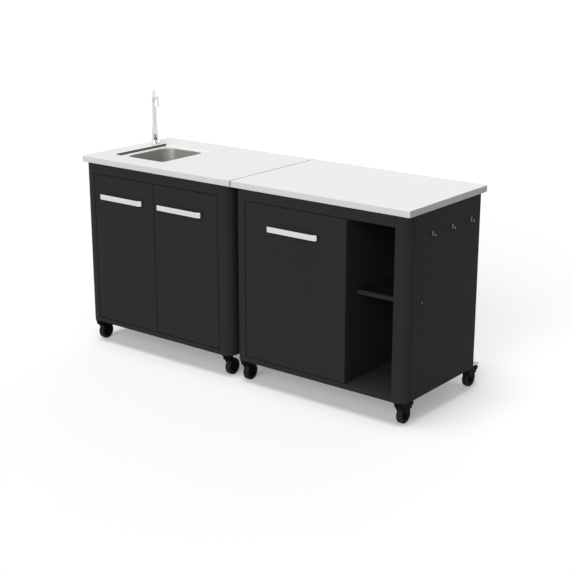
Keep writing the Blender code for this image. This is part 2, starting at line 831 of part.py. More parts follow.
def add_beam(name, x):
    """A strip under one side of a cabinet, with the kingpins of the front and the rear caster.

    Its front end is round, and its rear end is square and reaches out behind the cabinet."""
    top = base_height - seat_gap
    bottom = top - beam_thickness
    head_top = bottom - fork_sheet - 2 * running_gap
    head_end = head_top - kingpin_head_height
    root = bottom + beam_thickness / 2
    side = beam_width / 2
    rear = caster_ys[1] + beam_rear_end
    outline = arc((0, caster_ys[0]), side, 180, 360, turn_steps // 2) + [(side, rear), (-side, rear)]
    mesh = prism_mesh(name, outline, beam_thickness, start=bottom)
    beam = add_part(name, mesh, caster_black, frame, (x, 0, 0))
    profile = [(0, root), (kingpin_radius, root), (kingpin_radius, head_top),
               (kingpin_head_radius, head_top), (kingpin_head_radius, head_end), (0, head_end)]
    for place, y in (("front", caster_ys[0]), ("rear", caster_ys[1])):
        pin = add_cutter("%s_%s_kingpin" % (name, place), turned_mesh("kingpin", profile, small_steps),
                         frame, (x, y, 0))
        combine(beam, pin, "UNION")


def cheek_mesh(discs, top, side):
    """One fork cheek: the hull of its root under the crown and the bosses on it."""
    inner = wheel_width / 2 + fork_wheel_gap
    bm = bmesh.new()
    for x in (side * inner, side * (inner + fork_sheet)):
        for y in (-fork_root, fork_root):
            bm.verts.new((x, y, top))
        for centre, radius in discs:
            for y, z in arc(centre, radius, 0, 360, small_steps)[:-1]:
                bm.verts.new((x, y, z))
    hull = bmesh.ops.convex_hull(bm, input=bm.verts)
    spare = {item for item in hull["geom_interior"] if isinstance(item, bmesh.types.BMVert)}
    bmesh.ops.delete(bm, geom=list(spare), context="VERTS")
    return mesh_from(bm, "cheek")


def fork_mesh(braked):
    """The turned crown with both cheeks, and the riveted axle across them."""
    top = base_height - seat_gap - beam_thickness - running_gap
    hole = kingpin_radius + running_gap
    inside = crown_radius - fork_sheet
    crown_profile = [(crown_radius - crown_chamfer, top), (crown_radius, top - crown_chamfer),
                     (crown_radius, top - crown_skirt), (inside, top - crown_skirt),
                     (inside, top - fork_sheet), (hole, top - fork_sheet), (hole, top)]
    crown = add_cutter("crown", turned_mesh("crown", crown_profile, crown_steps, True), None)
    discs = [((wheel_trail, wheel_radius), axle_boss_radius)]
    if braked:
        discs.append(((pedal_pivot_y, pedal_pivot_z), pedal_boss_radius))
    outer = wheel_width / 2 + fork_wheel_gap + fork_sheet
    tools = []
    for side in (-1, 1):
        cheek = add_cutter("cheek", cheek_mesh(discs, top - fork_sheet / 2, side), None)
        combine(crown, cheek, "UNION")
        tools.append(cheek)
    if braked:
        bore_mesh = cylinder_mesh("bore", pedal_pin_radius + running_gap, -outer - cut_overrun,
                                  outer + cut_overrun, "x", small_steps)
        bore = add_cutter("bore", bore_mesh, None, (0, pedal_pivot_y, pedal_pivot_z))
        combine(crown, bore, "DIFFERENCE")
        tools.append(bore)
    end = outer + axle_head_height
    axle_profile = [(0, end), (axle_head_radius, end), (axle_head_radius, outer - fork_sheet / 2),
                    (axle_radius, outer - fork_sheet / 2), (axle_radius, fork_sheet / 2 - outer),
                    (axle_head_radius, fork_sheet / 2 - outer), (axle_head_radius, -end), (0, -end)]
    axle = add_cutter("axle", turned_mesh("axle", axle_profile, small_steps), None,
                      (0, wheel_trail, wheel_radius), (0, math.radians(90), 0))
    combine(crown, axle, "UNION")
    bpy.context.view_layer.update()
    return evaluated_mesh("caster_fork", crown, *tools, axle)


def wheel_mesh():
    half = wheel_width / 2
    bore = axle_radius + running_gap
    rim = wheel_radius - wheel_rim
    web = half - wheel_web_recess
    lower = [(wheel_radius, wheel_shoulder - half), (wheel_radius - wheel_shoulder, -half), (rim, -half),
             (wheel_hub_radius, -web), (bore, -half)]
    upper = [(radius, -height) for radius, height in reversed(lower)]
    return turned_mesh("caster_wheel", upper + lower, wheel_steps, True)


def pedal_mesh():
    """A moulded pedal on its pivot: foot plate behind, shoe below, pin across the fork."""
    half = wheel_width / 2 + fork_wheel_gap - pedal_side_gap
    hub = arc((0, 0), pedal_boss_radius, 90, 270, bend_steps)
    outline = hub + [(shoe_back, -pedal_boss_radius), (shoe_back, -shoe_drop),
                     (shoe_back + shoe_thickness, -shoe_drop),
                     (shoe_back + shoe_thickness, -pedal_belly_drop),
                     (pedal_belly_back, -pedal_belly_drop),
                     (pedal_reach, pedal_tip_rise - pedal_tip_thickness),
                     (pedal_reach, pedal_tip_rise), (pedal_rise_back, pedal_rise)]
    body = add_cutter("pedal", prism_mesh("pedal", outline, 2 * half, "x", -half), None)
    reach = half + pedal_side_gap + fork_sheet
    pin_mesh_across = cylinder_mesh("pedal_pin", pedal_pin_radius, -reach, reach, "x", small_steps)
    pin = add_cutter("pedal_pin", pin_mesh_across, None)
    combine(body, pin, "UNION")
    return evaluated_mesh("brake_pedal", body, pin)


def add_casters():
    """Both modules stand on four casters. The outer four have a brake pedal."""
    forks = {True: fork_mesh(True), False: fork_mesh(False)}
    wheel = wheel_mesh()
    pedal = pedal_mesh()
    number = 0
    for module, left in enumerate(cabinet_lefts):
        for side, side_name in enumerate(("left", "right")):
            x = left + caster_side_inset + side * (cabinet_width - 2 * caster_side_inset)
            add_beam("%s_%s_caster_beam" % (cabinet_names[module], side_name), x)
            for y in caster_ys:
                number += 1
                braked = module == side
                swivel = make_empty("caster_swivel_%d" % number, frame, (x, y, 0))
                add_part("caster_fork_%d" % number, forks[braked], caster_black, swivel)
                add_part("caster_wheel_%d" % number, wheel, caster_rubber, swivel,
                         (0, wheel_trail, wheel_radius), (0, math.radians(90), 0))
                if braked:
                    add_part("brake_pedal_%d" % number, pedal, caster_black, swivel,
                             (0, pedal_pivot_y, pedal_pivot_z))


clear_scene()
parts = make_collection("outdoor_kitchen_unit")
cutters = make_collection("cutters")
coating = make_material("dark_coating", (0.030, 0.031, 0.032), 0.55, 0.0)
satin_steel = make_material("satin_steel", (0.78, 0.78, 0.77), 0.35, 0.9)
brushed_steel = make_material("brushed_steel", (0.45, 0.44, 0.43), 0.38, 0.9)
bright_steel = make_material("bright_steel", (0.60, 0.60, 0.60), 0.25, 1.0)
grey_plastic = make_material("grey_plastic", (0.16, 0.16, 0.16), 0.6, 0.0)
caster_black = make_material("caster_black", (0.012, 0.012, 0.012), 0.5, 0.0)
caster_rubber = make_material("caster_rubber", (0.015, 0.015, 0.015), 0.75, 0.0)
frame = make_empty("unit_frame", None, frame_shift)

narrow_lefts = (cabinet_lefts[0] + post_width + door_gap,
                cabinet_lefts[0] + post_width + 2 * door_gap + narrow_door_width)
wide_left = cabinet_lefts[1] + post_width + door_gap
sink_pivots = (narrow_lefts[0] + pivot_inset, narrow_lefts[1] + narrow_door_width - pivot_inset)
wide_pivot = wide_left + pivot_inset
stop_inset = door_lip + stop_width / 2

add_cabinet(cabinet_names[0], cabinet_lefts[0], sink_pivots,
            (narrow_lefts[1] - door_gap - stop_inset, narrow_lefts[1] + stop_inset))
right_side = add_cabinet(cabinet_names[1], cabinet_lefts[1], (wide_pivot,),
                         (divider_right - divider_thickness - stop_inset,))
add_joint()
add_sink_worktop()
add_worktop("plain_worktop", worktop_width + worktop_seam)
add_door("sink_left_door", narrow_lefts[0], narrow_door_width, sink_pivots[0], handle_offset)
add_door("sink_right_door", narrow_lefts[1], narrow_door_width, sink_pivots[1],
         handle_offset + handle_hinge_shift)
add_door("wide_door", wide_left, wide_door_width, wide_pivot, handle_offset)
add_divider()
add_shelf_screw(right_side, add_shelf())
add_hooks()
add_bowl()
add_waste()
add_tap()
add_casters()
for item in parts.objects:
    if item.type == "MESH" and item.name.startswith(("caster", "sink", "tap")):
        smooth(item.data)
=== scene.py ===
import json
import math

import bmesh
import bpy
from mathutils import Matrix, Vector

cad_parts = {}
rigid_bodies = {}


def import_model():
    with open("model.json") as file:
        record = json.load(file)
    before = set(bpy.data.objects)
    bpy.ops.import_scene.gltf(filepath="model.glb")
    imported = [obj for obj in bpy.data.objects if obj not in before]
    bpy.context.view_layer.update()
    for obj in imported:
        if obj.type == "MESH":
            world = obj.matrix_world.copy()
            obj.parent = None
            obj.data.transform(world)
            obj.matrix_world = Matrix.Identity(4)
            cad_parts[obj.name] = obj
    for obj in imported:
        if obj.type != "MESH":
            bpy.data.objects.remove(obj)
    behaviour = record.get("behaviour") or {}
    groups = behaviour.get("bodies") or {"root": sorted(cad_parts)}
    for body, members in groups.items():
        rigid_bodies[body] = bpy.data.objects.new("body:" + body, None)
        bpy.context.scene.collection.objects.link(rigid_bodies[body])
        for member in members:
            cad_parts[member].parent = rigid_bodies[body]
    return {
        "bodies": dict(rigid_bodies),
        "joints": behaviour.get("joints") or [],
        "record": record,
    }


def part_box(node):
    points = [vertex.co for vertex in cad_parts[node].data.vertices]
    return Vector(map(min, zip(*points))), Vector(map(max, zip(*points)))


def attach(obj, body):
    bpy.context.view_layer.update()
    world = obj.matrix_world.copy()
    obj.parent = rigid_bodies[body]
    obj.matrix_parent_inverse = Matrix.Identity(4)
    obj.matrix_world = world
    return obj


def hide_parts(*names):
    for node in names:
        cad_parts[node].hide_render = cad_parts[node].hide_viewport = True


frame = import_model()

# Metres and degrees. x runs along the unit to the open compartment, y from the doors to the back, z up.
scene = bpy.context.scene
record = frame["record"]
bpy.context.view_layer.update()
bodyOf = {node: body for body, nodes in record["behaviour"]["bodies"].items() for node in nodes}
slotOf = {part["node"]: part["material_slot"] for part in record["subparts"]}
jointAt = {joint["child"]: Vector(joint["pos_m"]) for joint in frame["joints"]}
modules = ("sink_module", "open_module")


# camera, placed from the sink worktop's lowest corner, at its front left
view = {"fromCorner": (4.2953, -3.9540, 1.1471), "down": 16.944, "left": 38.024,
        "lens": 78.98, "sensor": 36}


def addCamera():
    data = bpy.data.cameras.new("photoCamera")
    data.lens = view["lens"]
    data.sensor_width = view["sensor"]
    camera = bpy.data.objects.new("photoCamera", data)
    scene.collection.objects.link(camera)
    camera.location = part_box("sink_worktop")[0] + Vector(view["fromCorner"])
    camera.rotation_euler = (math.radians(90 - view["down"]), 0, math.radians(view["left"]))
    scene.camera = camera


# studio: the camera and reflections see a white sky and a light floor, and other rays get
# skyLevel and floorBounce; a lamp's level is what a white surface that faces it gives back
studio = {"skyLevel": 0.19, "floorSize": 60, "floorSeen": 0.78, "floorBounce": 0.25, "floorLift": 0.24,
          "lamps": {"topLight": {"from": (-0.06, -0.12, 1.0), "angle": 28, "level": 0.54},
                    "frontLight": {"from": (0.22, -1.0, 0.42), "angle": 40, "level": 0.55},
                    "sideLight": {"from": (0.75, -0.65, 0.40), "angle": 36, "level": 0.04},
                    "backLight": {"from": (-0.35, 1.0, 0.50), "angle": 50, "level": 0.14}}}


def addNode(tree, kind, inputs):
    # each input gets a value, or a link from another node's output
    node = tree.nodes.new("ShaderNode" + kind)
    for name, value in inputs.items():
        if isinstance(value, bpy.types.NodeSocket):
            tree.links.new(value, node.inputs[name])
        else:
            node.inputs[name].default_value = value
    return node


def combine(tree, operation, first, second):
    node = addNode(tree, "Math", {0: first, 1: second})
    node.operation = operation
    return node.outputs[0]


def seenRays(tree):
    # 1 for camera, glossy and transmission rays
    rays = addNode(tree, "LightPath", {}).outputs
    seen = combine(tree, "MAXIMUM", rays["Is Camera Ray"], rays["Is Glossy Ray"])
    return combine(tree, "MAXIMUM", seen, rays["Is Transmission Ray"])


def rayLevel(tree, seen, unseenLevel, seenLevel):
    inputs = {"Value": seen, "To Min": unseenLevel, "To Max": seenLevel}
    return addNode(tree, "MapRange", inputs).outputs["Result"]


def addSky():
    world = bpy.data.worlds.new("studioSky")
    scene.world = world
    world.use_nodes = True
    tree = world.node_tree
    sky = tree.nodes["Background"]
    sky.inputs["Color"].default_value = (1, 1, 1, 1)
    tree.links.new(rayLevel(tree, seenRays(tree), studio["skyLevel"], 1), sky.inputs["Strength"])


def floorFinish():
    # matt paper, with a glow that only the rays of seenRays meet
    paper = bpy.data.materials.new("studioFloor")
    paper.use_nodes = True
    tree = paper.node_tree
    tree.nodes.clear()
    seen = seenRays(tree)
    shade = rayLevel(tree, seen, studio["floorBounce"], studio["floorSeen"])
    matt = addNode(tree, "BsdfDiffuse", {"Color": shade})
    lift = combine(tree, "MULTIPLY", seen, studio["floorLift"])
    glow = addNode(tree, "Emission", {"Strength": lift})
    both = addNode(tree, "AddShader", {0: matt.outputs[0], 1: glow.outputs[0]})
    addNode(tree, "OutputMaterial", {"Surface": both.outputs[0]})
    return paper


def addFloor():
    bm = bmesh.new()
    bmesh.ops.create_grid(bm, x_segments=1, y_segments=1, size=studio["floorSize"])
    mesh = bpy.data.meshes.new("studioFloor")
    bm.to_mesh(mesh)
    bm.free()
    mesh.materials.append(floorFinish())
    floor = bpy.data.objects.new("studioFloor", mesh)
    scene.collection.objects.link(floor)


def addLamps():
    for name, lamp in studio["lamps"].items():
        data = bpy.data.lights.new(name, "SUN")
        data.angle = math.radians(lamp["angle"])
        data.energy = lamp["level"] * math.pi
        item = bpy.data.objects.new(name, data)
        item.rotation_euler = Vector(lamp["from"]).to_track_quat("Z", "Y").to_euler()
        scene.collection.objects.link(item)
    scene.view_settings.view_transform = "Standard"


def grey(level):
    return (level, level, level)


# finishes: two shades that drift into each other, a roughness range, and a fine grain as (scale,
# depth); stretch draws the pattern out, as brushing does, and on the tap into streaks of painted
# reflection;
# shift moves it. The first nine are the record's slots, and the others are for pieces and faces that look
# different from their slot, several of them darker copies that paint shade
usualLook = {"metal": 0, "stretch": (1, 1, 1), "shift": (0, 0, 0)}
looks = {
    "dark_coating": {
        "shades": ((0.0292, 0.0300, 0.0300), (0.0322, 0.0329, 0.0328)), "drift": 7,
        "rough": (0.38, 0.46), "specular": 0.022, "grain": (900, 0.00005)},
    "satin_steel": {
        "shades": ((0.77, 0.77, 0.76), (0.81, 0.81, 0.80)), "drift": 3, "rough": (0.46, 0.56),
        "metal": 0.03, "specular": 0.04, "stretch": (0.03, 1, 1), "grain": (1500, 0.00001)},
    "bowl_steel": {
        "shades": ((0.32, 0.31, 0.30), (0.39, 0.38, 0.365)), "drift": 9, "rough": (0.34, 0.44),
        "metal": 0.4, "specular": 0.4, "stretch": (1, 0.06, 1), "grain": (1400, 0.00001)},
    # the tap's two shades drift into vertical streaks along the pipe: painted reflection, and shift moves
    # where they fall
    "tap_chrome": {
        "shades": (grey(0.46), grey(1.0)), "drift": 75, "rough": (0.07, 0.15), "metal": 1, "specular": 0.5,
        "stretch": (1, 1, 0.03), "shift": (0.005, 0.005, 0), "grain": (700, 0.000003)},
    "hook_steel": {
        "shades": (grey(0.10), grey(0.14)), "drift": 60, "rough": (0.20, 0.30), "metal": 1,
        "specular": 0.5, "grain": (1200, 0.00001)},
    "trap_plastic": {
        "shades": (grey(0.145), grey(0.17)), "drift": 30, "rough": (0.50, 0.62), "specular": 0.4,
        "grain": (800, 0.00003)},
    "caster_metal": {
        "shades": ((0.0060, 0.0061, 0.0062), (0.0090, 0.0092, 0.0093)), "drift": 40,
        "rough": (0.24, 0.34), "specular": 0.015, "grain": (900, 0.00004)},
    "wheel_rubber": {
        "shades": ((0.0220, 0.0220, 0.0222), (0.0300, 0.0300, 0.0302)), "drift": 45,
        "rough": (0.42, 0.56), "specular": 0.03, "grain": (700, 0.00008)},
    "pedal_plastic": {
        "shades": ((0.0035, 0.0035, 0.0036), (0.0055, 0.0055, 0.0056)), "drift": 50,
        "rough": (0.40, 0.52), "specular": 0.015, "grain": (1000, 0.00004)},
    "plate_zinc": {
        "shades": ((0.30, 0.30, 0.29), (0.38, 0.38, 0.37)), "drift": 55, "rough": (0.36, 0.48),
        "metal": 0.6, "specular": 0.4, "grain": (900, 0.00002)},
    # a darker steel: the tap's knob, the worktop ends at the seam, and painted shade on the recess's left
    # wall
    "dark_steel_and_shade": {
        "shades": ((0.09, 0.09, 0.088), (0.13, 0.13, 0.128)), "drift": 30, "rough": (0.40, 0.50),
        "metal": 0.3, "specular": 0.3, "grain": (1500, 0.00001)},
    "handle_steel": {
        "shades": ((0.62, 0.62, 0.61), (0.74, 0.74, 0.73)), "drift": 60, "rough": (0.09, 0.15),
        "metal": 1, "specular": 0.5, "stretch": (0.06, 1, 1), "grain": (1300, 0.00001)},
    # a darker copy of the worktop's satin steel for the worktops' outer ends: painted shade
    "end_painted_shade": {
        "shades": ((0.58, 0.58, 0.575), (0.64, 0.64, 0.635)), "drift": 6, "rough": (0.36, 0.46),
        "metal": 0.06, "specular": 0.05, "stretch": (1, 0.04, 1), "grain": (1500, 0.00001)},
    # a darker copy of the dark coating for the shelf's top: painted shade
    "shelf_painted_shade": {
        "shades": ((0.010, 0.0104, 0.0104), (0.013, 0.0134, 0.0134)), "drift": 7,
        "rough": (0.40, 0.50), "specular": 0.02, "grain": (900, 0.00005)},
    # a slightly darker, glossier copy of the dark coating for the back panels and divider: painted shade
    # for the compartment's inside
    "inner_painted_shade": {
        "shades": ((0.024, 0.025, 0.025), (0.028, 0.029, 0.029)), "drift": 7,
        "rough": (0.40, 0.50), "specular": 0.03, "grain": (900, 0.00005)},
}
pattern = {"driftDetail": 4, "grainDetail": 2, "glossFrom": 0.3, "glossTo": 0.7}
finishes = {}


def addNoise(tree, place, scale, detail):
    inputs = {"Vector": place, "Scale": scale, "Detail": detail}
    return addNode(tree, "TexNoise", inputs).outputs["Fac"]


def makeFinish(name, look):
    look = {**usualLook, **look}
    material = bpy.data.materials.new(name)
    material.use_nodes = True
    tree = material.node_tree
    link = tree.links.new
    shader = tree.nodes["Principled BSDF"]
    shader.inputs["Metallic"].default_value = look["metal"]
    shader.inputs["Specular IOR Level"].default_value = look["specular"]
    spot = addNode(tree, "TexCoord", {}).outputs["Object"]
    inputs = {"Vector": spot, "Scale": look["stretch"], "Location": look["shift"]}
    place = addNode(tree, "Mapping", inputs).outputs["Vector"]
    cloud = addNoise(tree, place, look["drift"], pattern["driftDetail"])
    shade = tree.nodes.new("ShaderNodeMix")
    shade.data_type = "RGBA"
    colourInputs = [socket for socket in shade.inputs if socket.type == "RGBA"]
    for socket, colour in zip(colourInputs, look["shades"]):
        socket.default_value = (*colour, 1)
    link(cloud, shade.inputs["Factor"])
    mixed = next(socket for socket in shade.outputs if socket.type == "RGBA")
    link(mixed, shader.inputs["Base Color"])
    low, high = look["rough"]
    inputs = {"Value": cloud, "From Min": pattern["glossFrom"], "From Max": pattern["glossTo"],
              "To Min": low, "To Max": high}
    link(addNode(tree, "MapRange", inputs).outputs["Result"], shader.inputs["Roughness"])
    scale, depth = look["grain"]
    grain = addNoise(tree, place, scale, pattern["grainDetail"])
    relief = addNode(tree, "Bump", {"Height": grain, "Distance": depth})
    link(relief.outputs["Normal"], shader.inputs["Normal"])
    finishes[name] = material


# shared shapes; each way is (across, up, along)
ways = {"x": (Vector((0, 1, 0)), Vector((0, 0, 1)), Vector((1, 0, 0))),
        "y": (Vector((1, 0, 0)), Vector((0, 0, 1)), Vector((0, 1, 0))),
        "z": (Vector((1, 0, 0)), Vector((0, 1, 0)), Vector((0, 0, 1)))}
shared = {"sheet": 0.0015, "bend": 0.0018, "edge": 0.0004, "fineEdge": 0.0003, "fit": 0.0003,
          "weld": 0.00001, "sharp": 38, "softFrom": 50, "foldFrom": 45, "rimFrom": 60, "upFacing": 0.7}


def toMesh(bm, name, closed=True):
    bmesh.ops.remove_doubles(bm, verts=bm.verts, dist=shared["weld"])
    if closed:
        bmesh.ops.recalc_face_normals(bm, faces=bm.faces)
    mesh = bpy.data.meshes.new(name)
    bm.to_mesh(mesh)
    bm.free()
    mesh.shade_smooth()
    mesh.set_sharp_from_angle(angle=math.radians(shared["sharp"]))
    return mesh


def addPiece(name, mesh, slotName, wall=0, edge=0, edgeSteps=2, body="cabinet"):
    piece = bpy.data.objects.new(name, mesh)
    scene.collection.objects.link(piece)
    mesh.materials.append(finishes[slotName])
    if wall:
        shell = piece.modifiers.new("wall", "SOLIDIFY")
        shell.thickness = wall
        shell.offset = -1
        shell.use_even_offset = True
    if edge:
        soft = piece.modifiers.new("softEdge", "BEVEL")
        soft.width = edge
        soft.segments = edgeSteps
        soft.limit_method = "ANGLE"
        soft.angle_limit = math.radians(shared["softFrom"])
    piece.modifiers.new("weights", "WEIGHTED_NORMAL").keep_sharp = True
    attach(piece, body)
    return piece


def dress(node, mesh, wall=0, edge=0, edgeSteps=2):
    piece = addPiece(node + "_finished", mesh, slotOf[node], wall, edge, edgeSteps, bodyOf[node])
    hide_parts(node)
    return piece


def refinish(piece, finish):
    piece.data.materials[0] = finishes[finish]


def topCentre(node):
    low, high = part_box(node)
    return Vector(((low.x + high.x) / 2, (low.y + high.y) / 2, high.z))


def vertsIn(items):
    return [item for item in items if isinstance(item, bmesh.types.BMVert)]


def edgesIn(items):
    return [item for item in items if isinstance(item, bmesh.types.BMEdge)]


def newVerts(made):
    return vertsIn(made["geom"])


def newEdges(made):
    # the edges that lie along the new vertices
    ends = set(newVerts(made))
    return [edge for edge in edgesIn(made["geom"]) if ends.issuperset(edge.verts)]


def raiseFace(bm, face, rise):
    grown = newVerts(bmesh.ops.extrude_face_region(bm, geom=[face]))
    bmesh.ops.translate(bm, vec=rise, verts=grown)


def roundFolds(bm, fromAngle, width, steps):
    folds = [edge for edge in bm.edges
             if edge.is_manifold and edge.calc_face_angle() > math.radians(fromAngle)]
    bmesh.ops.bevel(bm, geom=folds, offset=width, segments=steps, profile=0.5, affect="EDGES",
                    material=-1)


def arcPoints(centre, radius, start, sweep, steps):
    turns = [math.radians(start + sweep * step / steps) for step in range(steps + 1)]
    return [(centre[0] + radius * math.cos(turn), centre[1] + radius * math.sin(turn)) for turn in turns]


def bentLine(corners, radii=None, steps=6):
    # a straight-sided line whose inner corners become bends
    radii = radii or [shared["bend"]] * (len(corners) - 2)
    line = [Vector(corners[0])]
    for before, corner, after, radius in zip(corners, corners[1:], corners[2:], radii):
        corner = Vector(corner)
        back = (Vector(before) - corner).normalized()
        onward = (Vector(after) - corner).normalized()
        half = back.angle(onward) / 2
        centre = corner + (back + onward).normalized() * radius / math.sin(half)
        start = corner + back * radius / math.tan(half) - centre
        end = corner + onward * radius / math.tan(half) - centre
        line += [centre + start.slerp(end, step / steps) * radius for step in range(steps + 1)]
    line.append(Vector(corners[-1]))
    return line


def sheetMesh(name, line, start, end, along):
    # the line is swept along one axis, with its faces on the line's right
    across, up, forward = ways[along]
    bm = bmesh.new()
    verts = [bm.verts.new(across * u + up * v + forward * start) for u, v in line]
    edges = [bm.edges.new(pair) for pair in zip(verts, verts[1:])]
    swept = newVerts(bmesh.ops.extrude_edge_only(bm, edges=edges))
    bmesh.ops.translate(bm, vec=forward * (end - start), verts=swept)
    bm.normal_update()
    run = line[1] - line[0]
    first = next(face for face in bm.faces if verts[0] in face.verts and verts[1] in face.verts)
    if first.normal.dot(across * run[1] - up * run[0]) < 0:
        bmesh.ops.reverse_faces(bm, faces=bm.faces)
    return toMesh(bm, name, closed=False)


def dressSheet(node, line, start, end, along):
    return dress(node, sheetMesh(node, line, start, end, along), shared["sheet"], shared["edge"])


def blockInto(bm, low, high):
    made = bmesh.ops.create_cube(bm, size=1)["verts"]
    bmesh.ops.scale(bm, vec=Vector(high) - Vector(low), verts=made)
    bmesh.ops.translate(bm, vec=(Vector(high) + Vector(low)) / 2, verts=made)
    return made


def turnFaces(bm, wayAt):
    # all faces look to the same side of the sheet, the one that wayAt gives for most of them
    bmesh.ops.recalc_face_normals(bm, faces=bm.faces)
    bm.normal_update()
    if sum(face.normal.dot(wayAt(face)) * face.calc_area() for face in bm.faces) < 0:
        bmesh.ops.reverse_faces(bm, faces=bm.faces)


def faceUp(bm):
    turnFaces(bm, lambda face: ways["z"][2])


def panMesh(name, low, high, openSide, lip, bend):
    # a folded pan, open on one side down to a lip, with every fold bent round
    bm = bmesh.new()
    blockInto(bm, low, high)
    bm.normal_update()
    side = max(bm.faces, key=lambda face: face.normal.dot(Vector(openSide)))
    if lip:
        bmesh.ops.inset_region(bm, faces=[side], thickness=lip, use_even_offset=True)
    bmesh.ops.delete(bm, geom=[side], context="FACES_ONLY")
    roundFolds(bm, shared["foldFrom"], bend, steps=4)
    middle = (Vector(low) + Vector(high)) / 2
    turnFaces(bm, lambda face: face.calc_center_median() - middle)
    return toMesh(bm, name, closed=False)


def dressPan(node, openSide, lip=0, bend=shared["bend"]):
    mesh = panMesh(node, *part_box(node), openSide, lip, bend)
    return dress(node, mesh, shared["sheet"], shared["edge"])


def roundedLoop(bm, centre, size, radius, steps=8):
    verts = []
    for sideX, sideY, start in ((1, 1, 0), (-1, 1, 90), (-1, -1, 180), (1, -1, 270)):
        corner = (sideX * (size[0] / 2 - radius), sideY * (size[1] / 2 - radius))
        verts += [bm.verts.new(centre + Vector((x, y, 0)))
                  for x, y in arcPoints(corner, radius, start, 90, steps)]
    return [bm.edges.new(pair) for pair in zip(verts, verts[1:] + verts[:1])]


def circleLoop(bm, centre, radius, steps=36):
    made = bmesh.ops.create_circle(bm, segments=steps, radius=radius, matrix=Matrix.Translation(centre))
    return list(dict.fromkeys(edge for vert in made["verts"] for edge in vert.link_edges))


def fillBetween(bm, edges):
    bmesh.ops.triangle_fill(bm, use_beauty=True, edges=edges)


def quarter(radius, flatFirst=False, inward=False, steps=5):
    # a quarter bend as steps of (how much wider, how much lower)
    turns = [math.pi / 2 * step / steps for step in range(steps + 1)]
    flat = [(math.sin(turn), 1 - math.cos(turn)) for turn in turns]
    steep = [(1 - math.cos(turn), math.sin(turn)) for turn in turns]
    places = flat if flatFirst else steep
    way = -radius if inward else radius
    return [((b[0] - a[0]) * way, (b[1] - a[1]) * radius) for a, b in zip(places, places[1:])]


def sweepLoop(bm, edges, centre, size, moves):
    # each move draws the loop on: so much wider on every side, and so much lower
    for wider, lower in moves:
        swept = bmesh.ops.extrude_edge_only(bm, edges=edges)
        verts = newVerts(swept)
        edges = newEdges(swept)
        grown = [side + 2 * wider for side in size]
        bmesh.ops.scale(bm, vec=(grown[0] / size[0], grown[1] / size[1], 1), verts=verts,
                        space=Matrix.Translation(-centre))
        bmesh.ops.translate(bm, vec=(0, 0, -lower), verts=verts)
        size = grown
    return edges


def spinInto(bm, profile, centre, axis="z", steps=48, closed=False):
    # a profile of (radius, height along the axis), turned round the axis
    out = Vector((0, 0, 1)) if axis == "x" else Vector((1, 0, 0))
    along = ways[axis][2]
    centre = Vector(centre)
    verts = [bm.verts.new(centre + out * radius + along * height) for radius, height in profile]
    edges = [bm.edges.new(pair) for pair in zip(verts, verts[1:])]
    if closed:
        edges.append(bm.edges.new((verts[-1], verts[0])))
    bmesh.ops.spin(bm, geom=verts + edges, cent=centre, axis=along, angle=math.tau, steps=steps,
                   use_merge=True)


def rodInto(bm, radius, start, end, centre, axis, steps):
    profile = [(0, start), (radius, start), (radius, end), (0, end)]
    spinInto(bm, profile, centre, axis, steps)


def turnedMesh(name, profile, centre, axis="z", steps=48, closed=False):
    bm = bmesh.new()
    spinInto(bm, profile, centre, axis, steps, closed)
    return toMesh(bm, name)


def hexagonInto(bm, radius, height, place):
    bmesh.ops.create_cone(bm, cap_ends=True, segments=6, radius1=radius, radius2=radius, depth=height,
                          matrix=place)


def movedMesh(mesh, name, shift):
    copy = mesh.copy()
    copy.name = name
    copy.materials.clear()
    copy.transform(Matrix.Translation(shift))
    return copy


def dressCopy(node, mesh, shift):
    dress(node, movedMesh(mesh, node, shift))


# cabinets
post = {"sideReturn": 0.014, "doorReturn": 0.022, "corner": 0.0481, "steps": 14, "footThickness": 0.003,
        "footScale": 0.97}
side = {"frontReturn": 0.014, "rearReturn": 0.025}
rail = {"face": 0.0469, "stopWidth": 0.044, "stopDrop": 0.014, "stopRoot": 0.0005, "stopInset": 0.0395,
        "pinRadius": 0.0035, "pinReach": 0.010, "washerRadius": 0.008, "washerHeight": 0.0027}
tray = {"flange": 0.080, "front": 0.0226, "lap": 0.0002}


def mirrorLine(line, low, high, left):
    return line if left else [Vector((low + high - u, v)) for u, v in reversed(line)]


def addPost(node, left):
    low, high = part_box(node)
    corners = [(low.x + post["sideReturn"], high.y), (low.x, high.y), (low.x, low.y), (high.x, low.y),
               (high.x, low.y + post["doorReturn"])]
    line = bentLine(corners, (shared["bend"], post["corner"], shared["bend"]), post["steps"])
    line = mirrorLine(line, low.x, high.x, left)
    dressSheet(node, line, low.z, high.z, "z")
    # a plate closes the foot, a little inside the sheet
    back = high.y - shared["sheet"]
    foot = [Vector((u, v, low.z)) for u, v in line if v < back]
    foot.append(Vector((line[-1 if left else 0].x, back, low.z)))
    middle = sum(foot, Vector()) / len(foot)
    bm = bmesh.new()
    plate = bm.faces.new([bm.verts.new(middle + (point - middle) * post["footScale"]) for point in foot])
    raiseFace(bm, plate, (0, 0, post["footThickness"]))
    addPiece(node + "_foot", toMesh(bm, node + "_foot"), "dark_coating")


def addSide(node, left):
    low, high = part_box(node)
    corners = [(low.x + side["rearReturn"], high.y), (low.x, high.y), (low.x, low.y),
               (low.x + side["frontReturn"], low.y)]
    dressSheet(node, mirrorLine(bentLine(corners), low.x, high.x, left), low.z, high.z, "z")


def addPins(node, xs, level, y, upward):
    # a washer that fills the gap to the door, and the pin in it
    way = 1 if upward else -1
    washer = way * rail["washerHeight"]
    end = washer + way * rail["pinReach"]
    profile = [(0, 0), (rail["washerRadius"], 0), (rail["washerRadius"], washer),
               (rail["pinRadius"], washer), (rail["pinRadius"], end), (0, end)]
    for number, x in enumerate(xs, 1):
        mesh = turnedMesh(node + "_pin", profile, (x, y, level), steps=24)
        addPiece("%s_pin_%d" % (node, number), mesh, "caster_metal", edge=shared["fineEdge"])


